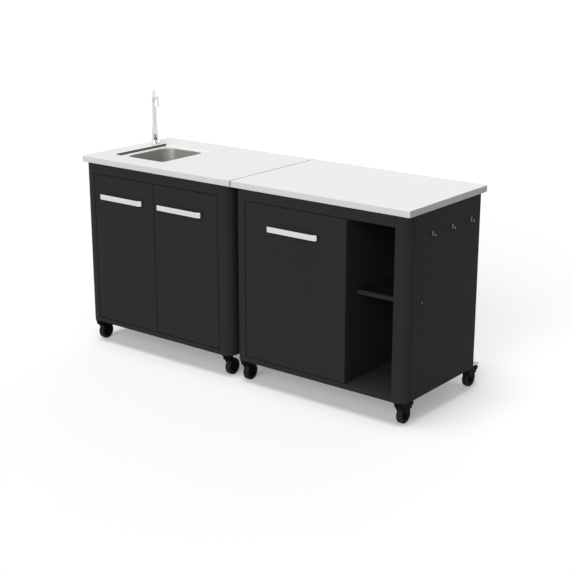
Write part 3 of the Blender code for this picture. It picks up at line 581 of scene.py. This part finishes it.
def addTopRail(module, pivots, pinY, stops):
    node = module + "_top_rail"
    low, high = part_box(node)
    under = high.z - rail["face"]
    corners = [(high.y, high.z), (low.y, high.z), (low.y, under), (high.y, under)]
    dressSheet(node, bentLine(corners), low.x, high.x, "x")
    addPins(node, pivots, under, pinY, False)
    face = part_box("wide_door")[1].y + shared["fit"]
    reach = rail["stopWidth"] / 2
    for number, x in enumerate(stops, 1):
        bm = bmesh.new()
        blockInto(bm, (x - reach, face, under - rail["stopDrop"]),
                  (x + reach, face + shared["sheet"], under + rail["stopRoot"]))
        addPiece("%s_stop_%d" % (node, number), toMesh(bm, node + "_stop"), "dark_coating",
                 edge=shared["edge"])


def addBase(module, pivots, pinY):
    node = module + "_base"
    low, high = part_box(node)
    top = low.z + tray["front"]
    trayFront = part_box(module + "_left_side")[0].y + shared["sheet"] + shared["fit"]
    corners = [(high.x - tray["flange"], low.z), (high.x, low.z), (high.x, top), (low.x, top),
               (low.x, low.z), (low.x + tray["flange"], low.z)]
    dressSheet(node, bentLine(corners), trayFront, high.y, "y")
    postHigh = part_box(module + "_left_post")[1]
    corners = [(trayFront - tray["lap"], top), (low.y, top), (low.y, low.z), (postHigh.y, low.z)]
    left = postHigh.x + shared["fit"]
    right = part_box(module + "_right_post")[0].x - shared["fit"]
    name = node + "_front_rail"
    mesh = sheetMesh(name, bentLine(corners), left, right, "x")
    addPiece(name, mesh, "dark_coating", shared["sheet"], shared["edge"])
    addPins(node, pivots, top, pinY, True)


def addCabinets():
    meeting = (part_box("sink_left_door")[1].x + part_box("sink_right_door")[0].x) / 2
    pinY = topCentre("wide_door").y
    inset = rail["stopInset"]
    pivots = {"sink_module": (jointAt["sink_left_door"].x, jointAt["sink_right_door"].x),
              "open_module": (jointAt["wide_door"].x,)}
    stops = {"sink_module": (meeting - inset, meeting + inset),
             "open_module": (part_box("divider")[0].x - inset,)}
    for module in modules:
        for place, left in (("left", True), ("right", False)):
            addPost("%s_%s_post" % (module, place), left)
            addSide("%s_%s_side" % (module, place), left)
        addTopRail(module, pivots[module], pinY, stops[module])
        addBase(module, pivots[module], pinY)
        # the back panel takes a darker copy of its coating: painted shade
        refinish(dressPan(module + "_back_panel", (0, -1, 0)), "inner_painted_shade")


def addInside():
    low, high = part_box("joining_channel")
    corners = [(high.x, low.y), (high.x, high.y), (low.x, high.y), (low.x, low.y)]
    dressSheet("joining_channel", bentLine(corners), low.z, high.z, "z")
    # the divider takes a darker copy of its coating: painted shade
    refinish(dressPan("divider", (-1, 0, 0)), "inner_painted_shade")
    # the shelf's top takes a darker copy of its coating: painted shade for the compartment's shade that
    # falls on it
    shelf = dressPan("shelf", (0, 0, -1)).data
    shelf.materials.append(finishes["shelf_painted_shade"])
    for face in shelf.polygons:
        face.material_index = int(face.normal.z > shared["upFacing"])


# doors and handles
door = {"lip": 0.016, "bend": 0.0022}
handle = {"strip": 0.0035, "bend": 0.016, "steps": 12, "edge": 0.0007}


def addDoors():
    for node in ("sink_left_door", "sink_right_door", "wide_door"):
        dressPan(node, (0, 1, 0), door["lip"], door["bend"])
        grip = node + "_handle"
        low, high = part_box(grip)
        corners = [(low.x, high.y), (low.x, low.y), (high.x, low.y), (high.x, high.y)]
        line = bentLine(corners, [handle["bend"]] * 2, handle["steps"])
        mesh = sheetMesh(grip, line, low.z, high.z, "z")
        refinish(dress(grip, mesh, handle["strip"], handle["edge"], edgeSteps=3), "handle_steel")


# side hooks; the rivet's dome is in shares of its radius and height
hook = {"radius": 0.0075, "strip": 0.0025, "tip": 0.005, "edge": 0.0006, "steps": 20,
        "rivet": 0.0022, "rivetHeight": 0.0010, "rivetDrop": 0.0055,
        "dome": ((0, 1), (0.55, 0.85), (0.88, 0.45), (1, 0), (0, 0))}


def addHooks():
    profile = [(hook["rivet"] * out, hook["rivetHeight"] * up) for out, up in hook["dome"]]
    for number in (1, 2, 3):
        node = "side_hook_%d" % number
        low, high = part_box(node)
        centre = (low.x + hook["radius"], low.z + hook["radius"])
        line = [Vector((low.x, high.z))]
        line += [Vector(point) for point in arcPoints(centre, hook["radius"], 180, 180, hook["steps"])]
        line.append(line[-1] + Vector((0, hook["tip"])))
        dress(node, sheetMesh(node, line, low.y, high.y, "y"), hook["strip"], hook["edge"], edgeSteps=3)
        place = (low.x + hook["strip"], (low.y + high.y) / 2, high.z - hook["rivetDrop"])
        mesh = turnedMesh(node + "_rivet", profile, place, "x", steps=20)
        addPiece(node + "_rivet", mesh, "hook_steel")


# the shelf's screw; its head is (share of the radius, set back)
screw = {"recess": 0.35, "recessDepth": 0.0012, "shank": 0.0025, "crown": 0.0025,
         "head": ((0.35, 0), (0.7, 0.0003), (0.94, 0.0011), (1, 0.0025))}


def addScrew():
    low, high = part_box("shelf_screw")
    middle = (low + high) / 2
    radius = (high.z - low.z) / 2
    floor = high.x - screw["recessDepth"]
    under = high.x - screw["crown"]
    profile = [(0, floor), (radius * screw["recess"], floor)]
    profile += [(radius * out, high.x - back) for out, back in screw["head"]]
    profile += [(screw["shank"], under), (screw["shank"], low.x), (0, low.x)]
    dress("shelf_screw", turnedMesh("shelf_screw", profile, (0, middle.y, middle.z), "x", steps=24))


# worktops and sink
worktop = {"edge": 0.0022, "corner": 0.003, "lip": 0.030, "skin": 0.0004, "endReach": 0.0016,
           "tapHole": 0.0143}
recess = {"left": 0.095, "front": 0.115, "size": (0.307, 0.360), "radius": 0.018, "depth": 0.012,
          "bend": 0.0020, "wallLean": 0.25}
bowl = {"mouth": (0.243, 0.296), "radius": 0.050, "rim": 0.0012, "flange": 0.014, "bend": 0.003,
        "taper": 0.010, "depth": 0.150, "foot": 0.020, "footSteps": 8, "dish": 0.046, "drain": 0.024,
        "dip": 0.004, "dipWidth": 0.009}


def pressRecess(bm, basin, centre, size):
    bend = recess["bend"]
    moves = quarter(bend, flatFirst=True, inward=True) + [(0, recess["depth"] - 2 * bend)]
    moves += quarter(bend, inward=True)
    basin = sweepLoop(bm, basin, centre, size, moves)
    floor = centre - Vector((0, 0, recess["depth"]))
    mouthSize = [length + 2 * bowl["rim"] for length in bowl["mouth"]]
    mouth = roundedLoop(bm, floor, mouthSize, bowl["radius"] + bowl["rim"])
    fillBetween(bm, basin + mouth)
    sweepLoop(bm, mouth, floor, mouthSize, quarter(bowl["rim"], flatFirst=True, inward=True))


def markDarkerFaces(bm, low, high, hasSink):
    # 1, a darker steel, paints shade on the recess's left wall and darkens the ends that meet at the seam;
    # 2, a darker copy of the worktop's steel, paints shade on the outer ends
    seam, end = (high.x, low.x) if hasSink else (low.x, high.x)
    for face in bm.faces:
        spot = face.calc_center_median()
        paintedShadeWall = (abs(spot.x - low.x - recess["left"]) < recess["bend"]
                  and face.normal.x > recess["wallLean"]
                  and high.z - recess["depth"] < spot.z < high.z - worktop["skin"])
        if (hasSink and paintedShadeWall) or abs(spot.x - seam) < worktop["endReach"]:
            face.material_index = 1
        elif abs(spot.x - end) < worktop["endReach"]:
            face.material_index = 2


def addWorktop(node, hasSink):
    low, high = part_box(node)
    centre = topCentre(node)
    edge = worktop["edge"]
    size = [high.x - low.x - 2 * edge, high.y - low.y - 2 * edge]
    bm = bmesh.new()
    rim = roundedLoop(bm, centre, size, worktop["corner"], steps=4)
    openings = []
    if hasSink:
        width, length = recess["size"]
        sinkCentre = Vector((low.x + recess["left"] + width / 2, low.y + recess["front"] + length / 2,
                             high.z))
        sinkSize = [measure + 2 * recess["bend"] for measure in recess["size"]]
        basin = roundedLoop(bm, sinkCentre, sinkSize, recess["radius"] + recess["bend"])
        spout = topCentre("tap_nut")
        openings = basin + circleLoop(bm, Vector((spout.x, spout.y, high.z)), worktop["tapHole"])
    fillBetween(bm, rim + openings)
    moves = quarter(edge, flatFirst=True) + [(0, high.z - low.z - 2 * edge)]
    moves += quarter(edge, inward=True) + [(edge - worktop["lip"], 0)]
    sweepLoop(bm, rim, centre, size, moves)
    if hasSink:
        pressRecess(bm, basin, sinkCentre, sinkSize)
    faceUp(bm)
    markDarkerFaces(bm, low, high, hasSink)
    piece = dress(node, toMesh(bm, node, closed=False), shared["sheet"], shared["fineEdge"])
    # the second finish paints shade on the recess's left wall and darkens the ends at the seam; the third
    # paints shade on the outer ends
    piece.data.materials.append(finishes["dark_steel_and_shade"])
    piece.data.materials.append(finishes["end_painted_shade"])


def addBowl():
    centre = topCentre("sink_bowl")
    size = [length + 2 * bowl["flange"] for length in bowl["mouth"]]
    bend = bowl["bend"]
    bm = bmesh.new()
    loop = roundedLoop(bm, centre, size, bowl["radius"] + bowl["flange"])
    moves = [(bend - bowl["flange"], 0)] + quarter(bend, flatFirst=True, inward=True)
    moves += [(-bowl["taper"], bowl["depth"] - bowl["foot"] - bend)]
    moves += quarter(bowl["foot"], inward=True, steps=bowl["footSteps"])
    foot = sweepLoop(bm, loop, centre, size, moves)
    floor = centre - Vector((0, 0, bowl["depth"]))
    dish = circleLoop(bm, floor, bowl["dish"])
    fillBetween(bm, foot + dish)
    sweepLoop(bm, dish, floor, [2 * bowl["dish"]] * 2,
              [(-bowl["dipWidth"], bowl["dip"]), (bowl["drain"] - bowl["dish"] + bowl["dipWidth"], 0)])
    faceUp(bm)
    dress("sink_bowl", toMesh(bm, "sink_bowl", closed=False), shared["sheet"], shared["fineEdge"])


# strainer, its shape as (radius, height above the rim), with the grating between two of its rings
strainer = {"sheet": 0.0008, "slots": 24, "bar": 0.0007, "gratingFrom": 0.0150, "gratingTo": 0.0225,
            "shape": ((0.034, -0.0018), (0.0336, -0.0006), (0.0324, 0), (0.0295, 0), (0.0278, -0.0007),
                      (0.027, -0.0035), (0.0225, -0.0037), (0.0150, -0.0037), (0.0110, -0.0035),
                      (0.005, -0.0035), (0.005, -0.0010), (0.0034, -0.0001), (0, -0.0001))}


def addStrainer():
    centre = topCentre("sink_strainer")
    bm = bmesh.new()
    spinInto(bm, strainer["shape"], centre, steps=strainer["slots"])
    bmesh.ops.remove_doubles(bm, verts=bm.verts, dist=shared["weld"])
    bm.faces.ensure_lookup_table()
    grating = [face for face in bm.faces if strainer["gratingFrom"]
               < (face.calc_center_median().xy - centre.xy).length < strainer["gratingTo"]]
    bmesh.ops.inset_individual(bm, faces=grating, thickness=strainer["bar"], use_even_offset=True)
    bmesh.ops.delete(bm, geom=[face for face in grating if face.is_valid], context="FACES_ONLY")
    faceUp(bm)
    dress("sink_strainer", toMesh(bm, "sink_strainer", closed=False), strainer["sheet"])


# drain and bottle trap
drain = {"lip": 0.0225, "nut": 0.032, "height": 0.014, "round": 0.001, "tail": 0.016, "wall": 0.003}
trap = {"bore": 0.0166, "boreDepth": 0.014, "nut": 0.023, "nutHeight": 0.018, "round": 0.0015,
        "edge": 0.001, "neck": 0.0175, "neckHeight": 0.030, "flare": 0.002, "flareHeight": 0.003,
        "foot": 0.003, "groove": 0.0235, "grooveDepth": 0.0016, "grooveOut": 0.0025, "grooveIn": 0.001,
        "shoulder": ((0.003, 0.001), (0.0008, 0.003), (0, 0.006))}
outlet = {"drop": 0.022, "root": 0.020, "radius": 0.016, "wall": 0.003, "nut": 0.022, "nutFrom": 0.030,
          "nutTo": 0.048, "nutRound": 0.0015, "nutSlope": 0.002}


def addDrainNut(centre, end):
    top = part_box("sink_bowl")[0].z - shared["fit"]
    under = top - drain["height"]
    nut, tail, soft = drain["nut"], drain["tail"], drain["round"]
    bore = tail - drain["wall"]
    profile = [(drain["lip"], top + soft), (nut - soft, top), (nut, top - soft), (nut, under + soft),
               (nut - soft, under), (tail, under), (tail, end), (bore, end), (bore, top)]
    mesh = turnedMesh("sink_drain_nut", profile, centre, closed=True)
    addPiece("sink_drain_nut", mesh, "trap_plastic")


def addTrap(centre):
    low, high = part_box("sink_trap")
    mouth = high.z
    collar = mouth - trap["nutHeight"]
    shoulder = collar - trap["neckHeight"]
    wide = (high.x - low.x) / 2
    nut, neck, foot = trap["nut"], trap["neck"], trap["foot"]
    groove = low.z + trap["groove"]
    waist = wide - trap["grooveDepth"]
    bottle = [(trap["bore"], mouth), (nut - trap["round"], mouth), (nut, mouth - trap["round"]),
              (nut, collar + trap["edge"]), (nut - trap["edge"], collar), (neck, collar),
              (neck, shoulder + trap["flareHeight"]), (neck + trap["flare"], shoulder)]
    bottle += [(wide - inward, shoulder - drop) for inward, drop in trap["shoulder"]]
    bottle += [(wide, groove + trap["grooveOut"]), (waist, groove + trap["grooveIn"]),
               (waist, groove - trap["grooveIn"]), (wide, groove - trap["grooveOut"]),
               (wide, low.z + foot), (wide - foot, low.z), (0, low.z), (0, mouth - trap["boreDepth"]),
               (trap["bore"], mouth - trap["boreDepth"])]
    bm = bmesh.new()
    spinInto(bm, bottle, centre, closed=True)

    radius, nut = outlet["radius"], outlet["nut"]
    bore = radius - outlet["wall"]
    near, far, slope = outlet["nutFrom"], outlet["nutTo"], outlet["nutSlope"]
    end = high.y - centre.y
    pipe = [(0, outlet["root"]), (radius, outlet["root"]), (nut - outlet["nutRound"], near),
            (nut, near + slope), (nut, far - slope), (nut - outlet["nutRound"], far), (radius, far),
            (radius, end), (bore, end), (bore, near), (0, near)]
    spinInto(bm, pipe, (centre.x, centre.y, shoulder - outlet["drop"]), "y", steps=36)
    dress("sink_trap", toMesh(bm, "sink_trap"))


def addWaste():
    middle = topCentre("sink_strainer")
    centre = Vector((middle.x, middle.y, 0))
    addDrainNut(centre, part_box("sink_strainer")[0].z)
    addTrap(centre)


# tap; body is (radius, height above the deck), flange (in from its rim, height above the deck),
# collar (radius, height above its foot) and mouth (scale, step on) of each ring after the last
tap = {"pipe": 0.0103, "pipeFrom": 0.044, "neck": 0.070, "sweep": 168, "bearing": -41, "neckSteps": 40,
       "nut": 0.0215, "nutEdge": 0.0005, "shank": 0.014, "spigot": 0.008,
       "body": ((0.008, 0.0435), (0.0142, 0.043), (0.015, 0.0420), (0.015, 0.0160), (0.0158, 0.0120),
                (0.0185, 0.0092)),
       "flange": ((0.0015, 0.0075), (0.0004, 0.0062), (0, 0.0040), (0, 0.0006), (0.0006, 0)),
       "collar": ((0.0083, 0.030), (0.0083, 0), (0.0146, 0), (0.0150, 0.0006), (0.0150, 0.0030),
                  (0.0143, 0.0100), (0.0128, 0.0300), (0.0120, 0.0430), (0.0116, 0.0460),
                  (0.0103, 0.0468)),
       "mouth": ((1.12, 0), (1.12, 0), (1.0, 0.008), (0.80, 0), (1, -0.006), (0.5, 0), (0.1, 0))}
knob = {"length": 0.022, "width": 0.014, "height": 0.010, "corner": 0.004, "edge": 0.0012,
        "stem": 0.003, "stemLength": 0.008, "stemInside": 0.002}


def addTapBody(axis):
    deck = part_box("sink_worktop")[1].z
    low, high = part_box("tap_body")
    flange = (high.x - low.x) / 2
    profile = [(tap["spigot"], high.z)] + [(radius, deck + height) for radius, height in tap["body"]]
    profile += [(flange - inward, deck + height) for inward, height in tap["flange"]]
    profile += [(tap["shank"], deck), (tap["shank"], low.z), (0, low.z), (0, high.z)]
    dress("tap_body", turnedMesh("tap_body", profile, (axis.x, axis.y, 0), closed=True))


def addTapNut(axis):
    low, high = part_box("tap_nut")
    bm = bmesh.new()
    hexagonInto(bm, tap["nut"], high.z - low.z, Matrix.Translation(axis))
    caps = [face for face in bm.faces if len(face.verts) == 6]
    bmesh.ops.delete(bm, geom=caps, context="FACES_ONLY")
    for level in (low.z, high.z):
        ring = circleLoop(bm, Vector((axis.x, axis.y, level)), worktop["tapHole"])
        around = [edge for edge in bm.edges if edge.is_boundary
                  and all(abs(vert.co.z - level) < tap["nutEdge"] for vert in edge.verts)]
        fillBetween(bm, ring + around)
    bmesh.ops.bridge_loops(bm, edges=[edge for edge in bm.edges if edge.is_boundary])
    dress("tap_nut", toMesh(bm, "tap_nut"), edge=tap["nutEdge"])


def addTapSpout(axis):
    low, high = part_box("tap_spout")
    collar = [(radius, low.z + height) for radius, height in tap["collar"]]
    bm = bmesh.new()
    spinInto(bm, collar, (axis.x, axis.y, 0))
    bearing = math.radians(tap["bearing"])
    way = Vector((math.cos(bearing), math.sin(bearing), 0))
    start = low.z + tap["pipeFrom"]
    spring = high.z - tap["pipe"] - tap["neck"]
    loop = circleLoop(bm, Vector((axis.x, axis.y, start)), tap["pipe"], steps=32)
    swept = bmesh.ops.extrude_edge_only(bm, edges=loop)
    verts, loop = newVerts(swept), newEdges(swept)
    bmesh.ops.translate(bm, vec=(0, 0, spring - start), verts=verts)
    turn = math.radians(tap["sweep"])
    bend = bmesh.ops.spin(bm, geom=verts + loop, cent=Vector((axis.x, axis.y, spring)) + way * tap["neck"],
                          axis=way.cross(Vector((0, 0, 1))), angle=-turn, steps=tap["neckSteps"])
    tip, mouth = vertsIn(bend["geom_last"]), edgesIn(bend["geom_last"])
    centre = sum((vert.co for vert in tip), Vector()) / len(tip)
    down = way * math.sin(turn) + Vector((0, 0, math.cos(turn)))
    # each step scales the last ring and moves it on, for the aerator and the opening in it
    for growth, reach in tap["mouth"]:
        swept = bmesh.ops.extrude_edge_only(bm, edges=mouth)
        verts, mouth = newVerts(swept), newEdges(swept)
        bmesh.ops.scale(bm, vec=(growth,) * 3, verts=verts, space=Matrix.Translation(-centre))
        bmesh.ops.translate(bm, vec=down * reach, verts=verts)
        centre = centre + down * reach
    bmesh.ops.contextual_create(bm, geom=mouth)
    dress("tap_spout", toMesh(bm, "tap_spout"))


def addTapKnob():
    joint = next(joint for joint in frame["joints"] if joint["child"] == "tap_knob")
    bm = bmesh.new()
    loop = roundedLoop(bm, Vector(), (knob["width"], knob["height"]), knob["corner"], steps=5)
    bottom = bmesh.ops.contextual_create(bm, geom=loop)["faces"]
    raiseFace(bm, bottom[0], (0, 0, knob["length"]))
    roundFolds(bm, shared["rimFrom"], knob["edge"], steps=3)
    rodInto(bm, knob["stem"], -knob["stemLength"], knob["stemInside"], (0, 0, 0), "z", steps=20)
    lean = Vector(joint["axis"]).normalized().to_track_quat("Z", "Y").to_matrix().to_4x4()
    bmesh.ops.transform(bm, matrix=Matrix.Translation(Vector(joint["pos_m"])) @ lean, verts=bm.verts)
    refinish(dress("tap_knob", toMesh(bm, "tap_knob")), "dark_steel_and_shade")


def addTap():
    nutLow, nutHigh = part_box("tap_nut")
    axis = (nutLow + nutHigh) / 2
    addTapBody(axis)
    addTapNut(axis)
    addTapSpout(axis)
    addTapKnob()


# casters, each modelled round its swivel axis and moved to its place; crownRound is (inward, lower)
caster = {"count": 8, "sheet": 0.0025, "crown": 0.019, "skirt": 0.018, "hole": 0.0053, "root": 0.0165,
          "rootDrop": 0.0012, "wheelGap": 0.0015, "boss": 0.010, "pedalBoss": 0.007, "pedalBack": 0.064,
          "pedalHeight": 0.074, "edge": 0.0006, "flat": 1,
          "crownRound": ((0.0045, 0), (0.0022, 0.0006), (0.0007, 0.0021), (0, 0.0045)),
          "hem": 0.0008, "hemOut": 0.0006, "hemIn": 0.0005, "innerDrop": 0.0055, "innerRound": 0.002}
axle = {"radius": 0.004, "washerBore": 0.0045, "washer": 0.0085, "washerSheet": 0.0009, "head": 0.0068,
        "headHeight": 0.0026, "headReach": 0.0021}


def hullInto(bm, discs, corners, xs):
    verts = []
    for x in xs:
        verts += [bm.verts.new((x, y, z)) for y, z in corners]
        for centre, radius in discs:
            verts += [bm.verts.new((x, y, z)) for y, z in arcPoints(centre, radius, 0, 360, steps=24)[:-1]]
    hull = bmesh.ops.convex_hull(bm, input=verts)
    spare = set(vertsIn(hull["geom_interior"] + hull["geom_unused"]))
    bmesh.ops.delete(bm, geom=list(spare), context="VERTS")


def addAxle(bm, end, wheelY, wheelZ):
    centre = (0, wheelY, wheelZ)
    rodInto(bm, axle["radius"], -end, end, centre, "x", steps=24)
    for way in (-1, 1):
        inner, outer = way * end, way * (end + axle["washerSheet"])
        washer = [(axle["washerBore"], inner), (axle["washer"], inner), (axle["washer"], outer),
                  (axle["washerBore"], outer)]
        spinInto(bm, washer, centre, "x", steps=32, closed=True)
        place = Matrix.Translation((way * (end + axle["headReach"]), wheelY, wheelZ))
        lying = place @ Matrix.Rotation(math.pi / 2, 4, "Y")
        hexagonInto(bm, axle["head"], axle["headHeight"], lying)


def forkMesh(top, wheelY, wheelZ, halfWheel, braked):
    bm = bmesh.new()
    discs = [((wheelY, wheelZ), caster["boss"])]
    if braked:
        discs.append(((caster["pedalBack"], caster["pedalHeight"]), caster["pedalBoss"]))
    root = top - caster["rootDrop"]
    inner = halfWheel + caster["wheelGap"]
    for way in (-1, 1):
        hullInto(bm, discs, [(-caster["root"], root), (caster["root"], root)],
                 (way * inner, way * (inner + caster["sheet"])))
    bmesh.ops.dissolve_limit(bm, angle_limit=math.radians(caster["flat"]), verts=bm.verts, edges=bm.edges)
    roundFolds(bm, shared["rimFrom"], caster["edge"], steps=2)
    crown, hem = caster["crown"], caster["hem"]
    inside = crown - caster["sheet"]
    under = top - caster["sheet"]
    skirt = top - caster["skirt"]
    profile = [(crown - inward, top - lower) for inward, lower in caster["crownRound"]]
    profile += [(crown, skirt + hem), (crown - caster["hemOut"], skirt), (inside + caster["hemIn"], skirt),
                (inside, skirt + hem), (inside, top - caster["innerDrop"]),
                (inside - caster["innerRound"], under), (caster["hole"], under), (caster["hole"], top)]
    spinInto(bm, profile, (0, 0, 0), closed=True)
    addAxle(bm, inner + caster["sheet"], wheelY, wheelZ)
    return toMesh(bm, "caster_fork")


# wheels; rimShape is (in from the rim, in from the wheel's side)
tyre = {"shoulder": 0.005, "groove": 0.0009, "grooveHalf": 0.0006, "grooveEdge": 0.0012, "rim": 0.0245,
        "rimRound": 0.001}
hub = {"radius": 0.0100, "bore": 0.0043, "web": 0.0045, "webRound": 0.002, "face": 0.0003,
       "rimShape": ((0, 0.0015), (0.0012, 0.0010), (0.0030, 0.0013)), "rimWidth": 0.0045,
       "round": 0.001, "roundDrop": 0.0012, "ribs": 6, "ribHalf": 0.0012, "ribFrom": 0.9, "ribGap": 0.002}


def tyreMesh(radius, half, centre):
    shoulder = tyre["shoulder"]
    floor = radius - tyre["groove"]
    outer = [(floor, 0), (floor, tyre["grooveHalf"]), (radius, tyre["grooveEdge"])]
    outer += arcPoints((radius - shoulder, half - shoulder), shoulder, 0, 90, steps=6)
    outer += [(tyre["rim"] + tyre["rimRound"], half), (tyre["rim"], half - tyre["rimRound"])]
    profile = outer + [(r, -x) for r, x in reversed(outer[1:])]
    return turnedMesh("caster_wheel", profile, centre, "x", steps=64, closed=True)


def hubMesh(half, centre):
    bm = bmesh.new()
    rim, radius, face = tyre["rim"], hub["radius"], half - hub["face"]
    web = half - hub["web"]
    right = [(rim - inward, half - back) for inward, back in hub["rimShape"]]
    right += [(rim - hub["rimWidth"], web), (radius + hub["webRound"], web),
              (radius, half - hub["roundDrop"]), (radius - hub["round"], face), (hub["bore"], face)]
    profile = right + [(r, -x) for r, x in reversed(right)]
    spinInto(bm, profile, centre, "x", steps=60, closed=True)
    # ribs in the web, between the hub and the rim
    near, far = web * hub["ribFrom"], half - hub["ribGap"]
    ribEnd = rim - hub["ribGap"]
    for start, end in ((-far, -near), (near, far)):
        for number in range(hub["ribs"]):
            made = blockInto(bm, (start, -hub["ribHalf"], radius), (end, hub["ribHalf"], ribEnd))
            turn = Matrix.Rotation(math.tau * number / hub["ribs"], 4, "X")
            bmesh.ops.transform(bm, matrix=Matrix.Translation(centre) @ turn, verts=made)
    return toMesh(bm, "caster_hub")


# brake pedal, modelled round its own pin
pedal = {"boss": 0.007, "shoeBack": 0.0084, "shoeDrop": 0.020, "shoe": 0.0056, "reach": 0.026,
         "rise": 0.014, "riseBack": 0.010, "tipRise": 0.006, "tip": 0.010, "bellyDrop": 0.009,
         "bellyBack": 0.021, "pin": 0.003, "side": 0.0015, "edge": 0.0008, "foldFrom": 40,
         "ribs": 4, "ribStep": 0.20, "ribShare": 0.8, "ribHalf": 0.0007, "ribUnder": 0.0006,
         "ribOver": 0.0003}


def pedalMesh(halfWheel):
    half = halfWheel + caster["wheelGap"] - pedal["side"]
    heel = pedal["shoeBack"] + pedal["shoe"]
    outline = arcPoints((0, 0), pedal["boss"], 90, 180, steps=12)
    outline += [(pedal["shoeBack"], -pedal["boss"]), (pedal["shoeBack"], -pedal["shoeDrop"]),
                (heel, -pedal["shoeDrop"]), (heel, -pedal["bellyDrop"]),
                (pedal["bellyBack"], -pedal["bellyDrop"]),
                (pedal["reach"], pedal["tipRise"] - pedal["tip"]), (pedal["reach"], pedal["tipRise"]),
                (pedal["riseBack"], pedal["rise"])]
    bm = bmesh.new()
    face = bm.faces.new([bm.verts.new((-half, y, z)) for y, z in outline])
    raiseFace(bm, face, (2 * half, 0, 0))
    roundFolds(bm, pedal["foldFrom"], pedal["edge"], steps=3)
    # grip ribs on the tread
    treadStart = Vector((0, pedal["riseBack"], pedal["rise"]))
    tread = Vector((0, pedal["reach"], pedal["tipRise"])) - treadStart
    lean = Matrix.Rotation(math.atan2(tread.z, tread.y), 4, "X")
    ribWidth = half * pedal["ribShare"]
    for number in range(1, pedal["ribs"] + 1):
        made = blockInto(bm, (-ribWidth, -pedal["ribHalf"], -pedal["ribUnder"]),
                         (ribWidth, pedal["ribHalf"], pedal["ribOver"]))
        place = Matrix.Translation(treadStart + tread * pedal["ribStep"] * number)
        bmesh.ops.transform(bm, matrix=place @ lean, verts=made)
    end = half + pedal["side"] + caster["sheet"]
    rodInto(bm, pedal["pin"], -end, end, (0, 0, 0), "x", steps=20)
    return toMesh(bm, "brake_pedal")


def addCasters():
    # caster 3 gives the sizes of them all
    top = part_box("caster_fork_3")[1].z
    wheelLow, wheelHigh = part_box("caster_wheel_3")
    middle = (wheelLow + wheelHigh) / 2
    trail = middle.y - jointAt["caster_3"].y
    half = (wheelHigh.x - wheelLow.x) / 2
    forks = {braked: forkMesh(top, trail, middle.z, half, braked) for braked in (True, False)}
    centre = Vector((0, trail, middle.z))
    wheel = tyreMesh((wheelHigh.z - wheelLow.z) / 2, half, centre)
    wheelHub = hubMesh(half, centre)
    foot = pedalMesh(half)
    for number in range(1, caster["count"] + 1):
        place = jointAt["caster_%d" % number]
        shift = Vector((place.x, place.y, 0))
        braked = "brake_%d" % number in frame["bodies"]
        dressCopy("caster_fork_%d" % number, forks[braked], shift)
        dressCopy("caster_wheel_%d" % number, wheel, shift)
        name = "caster_wheel_%d_hub" % number
        addPiece(name, movedMesh(wheelHub, name, shift), "pedal_plastic", body="wheel_%d" % number)
        if braked:
            dressCopy("brake_pedal_%d" % number, foot, jointAt["brake_%d" % number])


# beams that carry the casters; the kingpin's head is (radius, height above its foot)
beam = {"sheet": 0.0025, "edge": 0.0005, "rearPlate": 0.100, "rearLip": 0.004, "steps": 24}
kingpin = {"radius": 0.005, "inside": 0.002,
           "head": ((0.005, 0.003), (0.0094, 0.003), (0.010, 0.0024), (0.0094, 0.0005), (0.008, 0),
                    (0, 0))}


def addBeam(node):
    low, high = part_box(node)
    middle, half = (low.x + high.x) / 2, (high.x - low.x) / 2
    under = high.z - beam["sheet"]
    split = high.y - beam["rearPlate"]
    outline = arcPoints((middle, low.y + half), half, 180, 180, beam["steps"])
    outline += [(high.x, split), (low.x, split)]
    bm = bmesh.new()
    plate = bm.faces.new([bm.verts.new((x, y, under)) for x, y in outline])
    raiseFace(bm, plate, (0, 0, high.z - under))
    rootZ = high.z - kingpin["inside"]
    profile = [(0, rootZ), (kingpin["radius"], rootZ)]
    profile += [(radius, low.z + height) for radius, height in kingpin["head"]]
    for body, place in jointAt.items():
        if body.startswith("caster") and low.x < place.x < high.x:
            spinInto(bm, profile, (place.x, place.y, 0), steps=32)
    dress(node, toMesh(bm, node), edge=beam["edge"])

    bm = bmesh.new()
    lip = beam["rearLip"]
    blockInto(bm, (low.x - lip, split, under), (high.x + lip, high.y + lip, high.z))
    name = node + "_rear_plate"
    refinish(addPiece(name, toMesh(bm, name), "caster_metal", edge=shared["edge"]), "plate_zinc")


addCamera()
addSky()
addFloor()
addLamps()
print("camera and studio are set")
for name, look in looks.items():
    makeFinish(name, look)
print("finishes:", len(finishes))
addCabinets()
addInside()
print("cabinets are folded")
addDoors()
addHooks()
addScrew()
print("doors, handles and hooks are on")
addWorktop("sink_worktop", True)
addWorktop("plain_worktop", False)
addBowl()
addStrainer()
addWaste()
addTap()
print("worktops, sink and tap are in")
addCasters()
for module in modules:
    for place in ("left", "right"):
        addBeam("%s_%s_caster_beam" % (module, place))
print("casters are on")
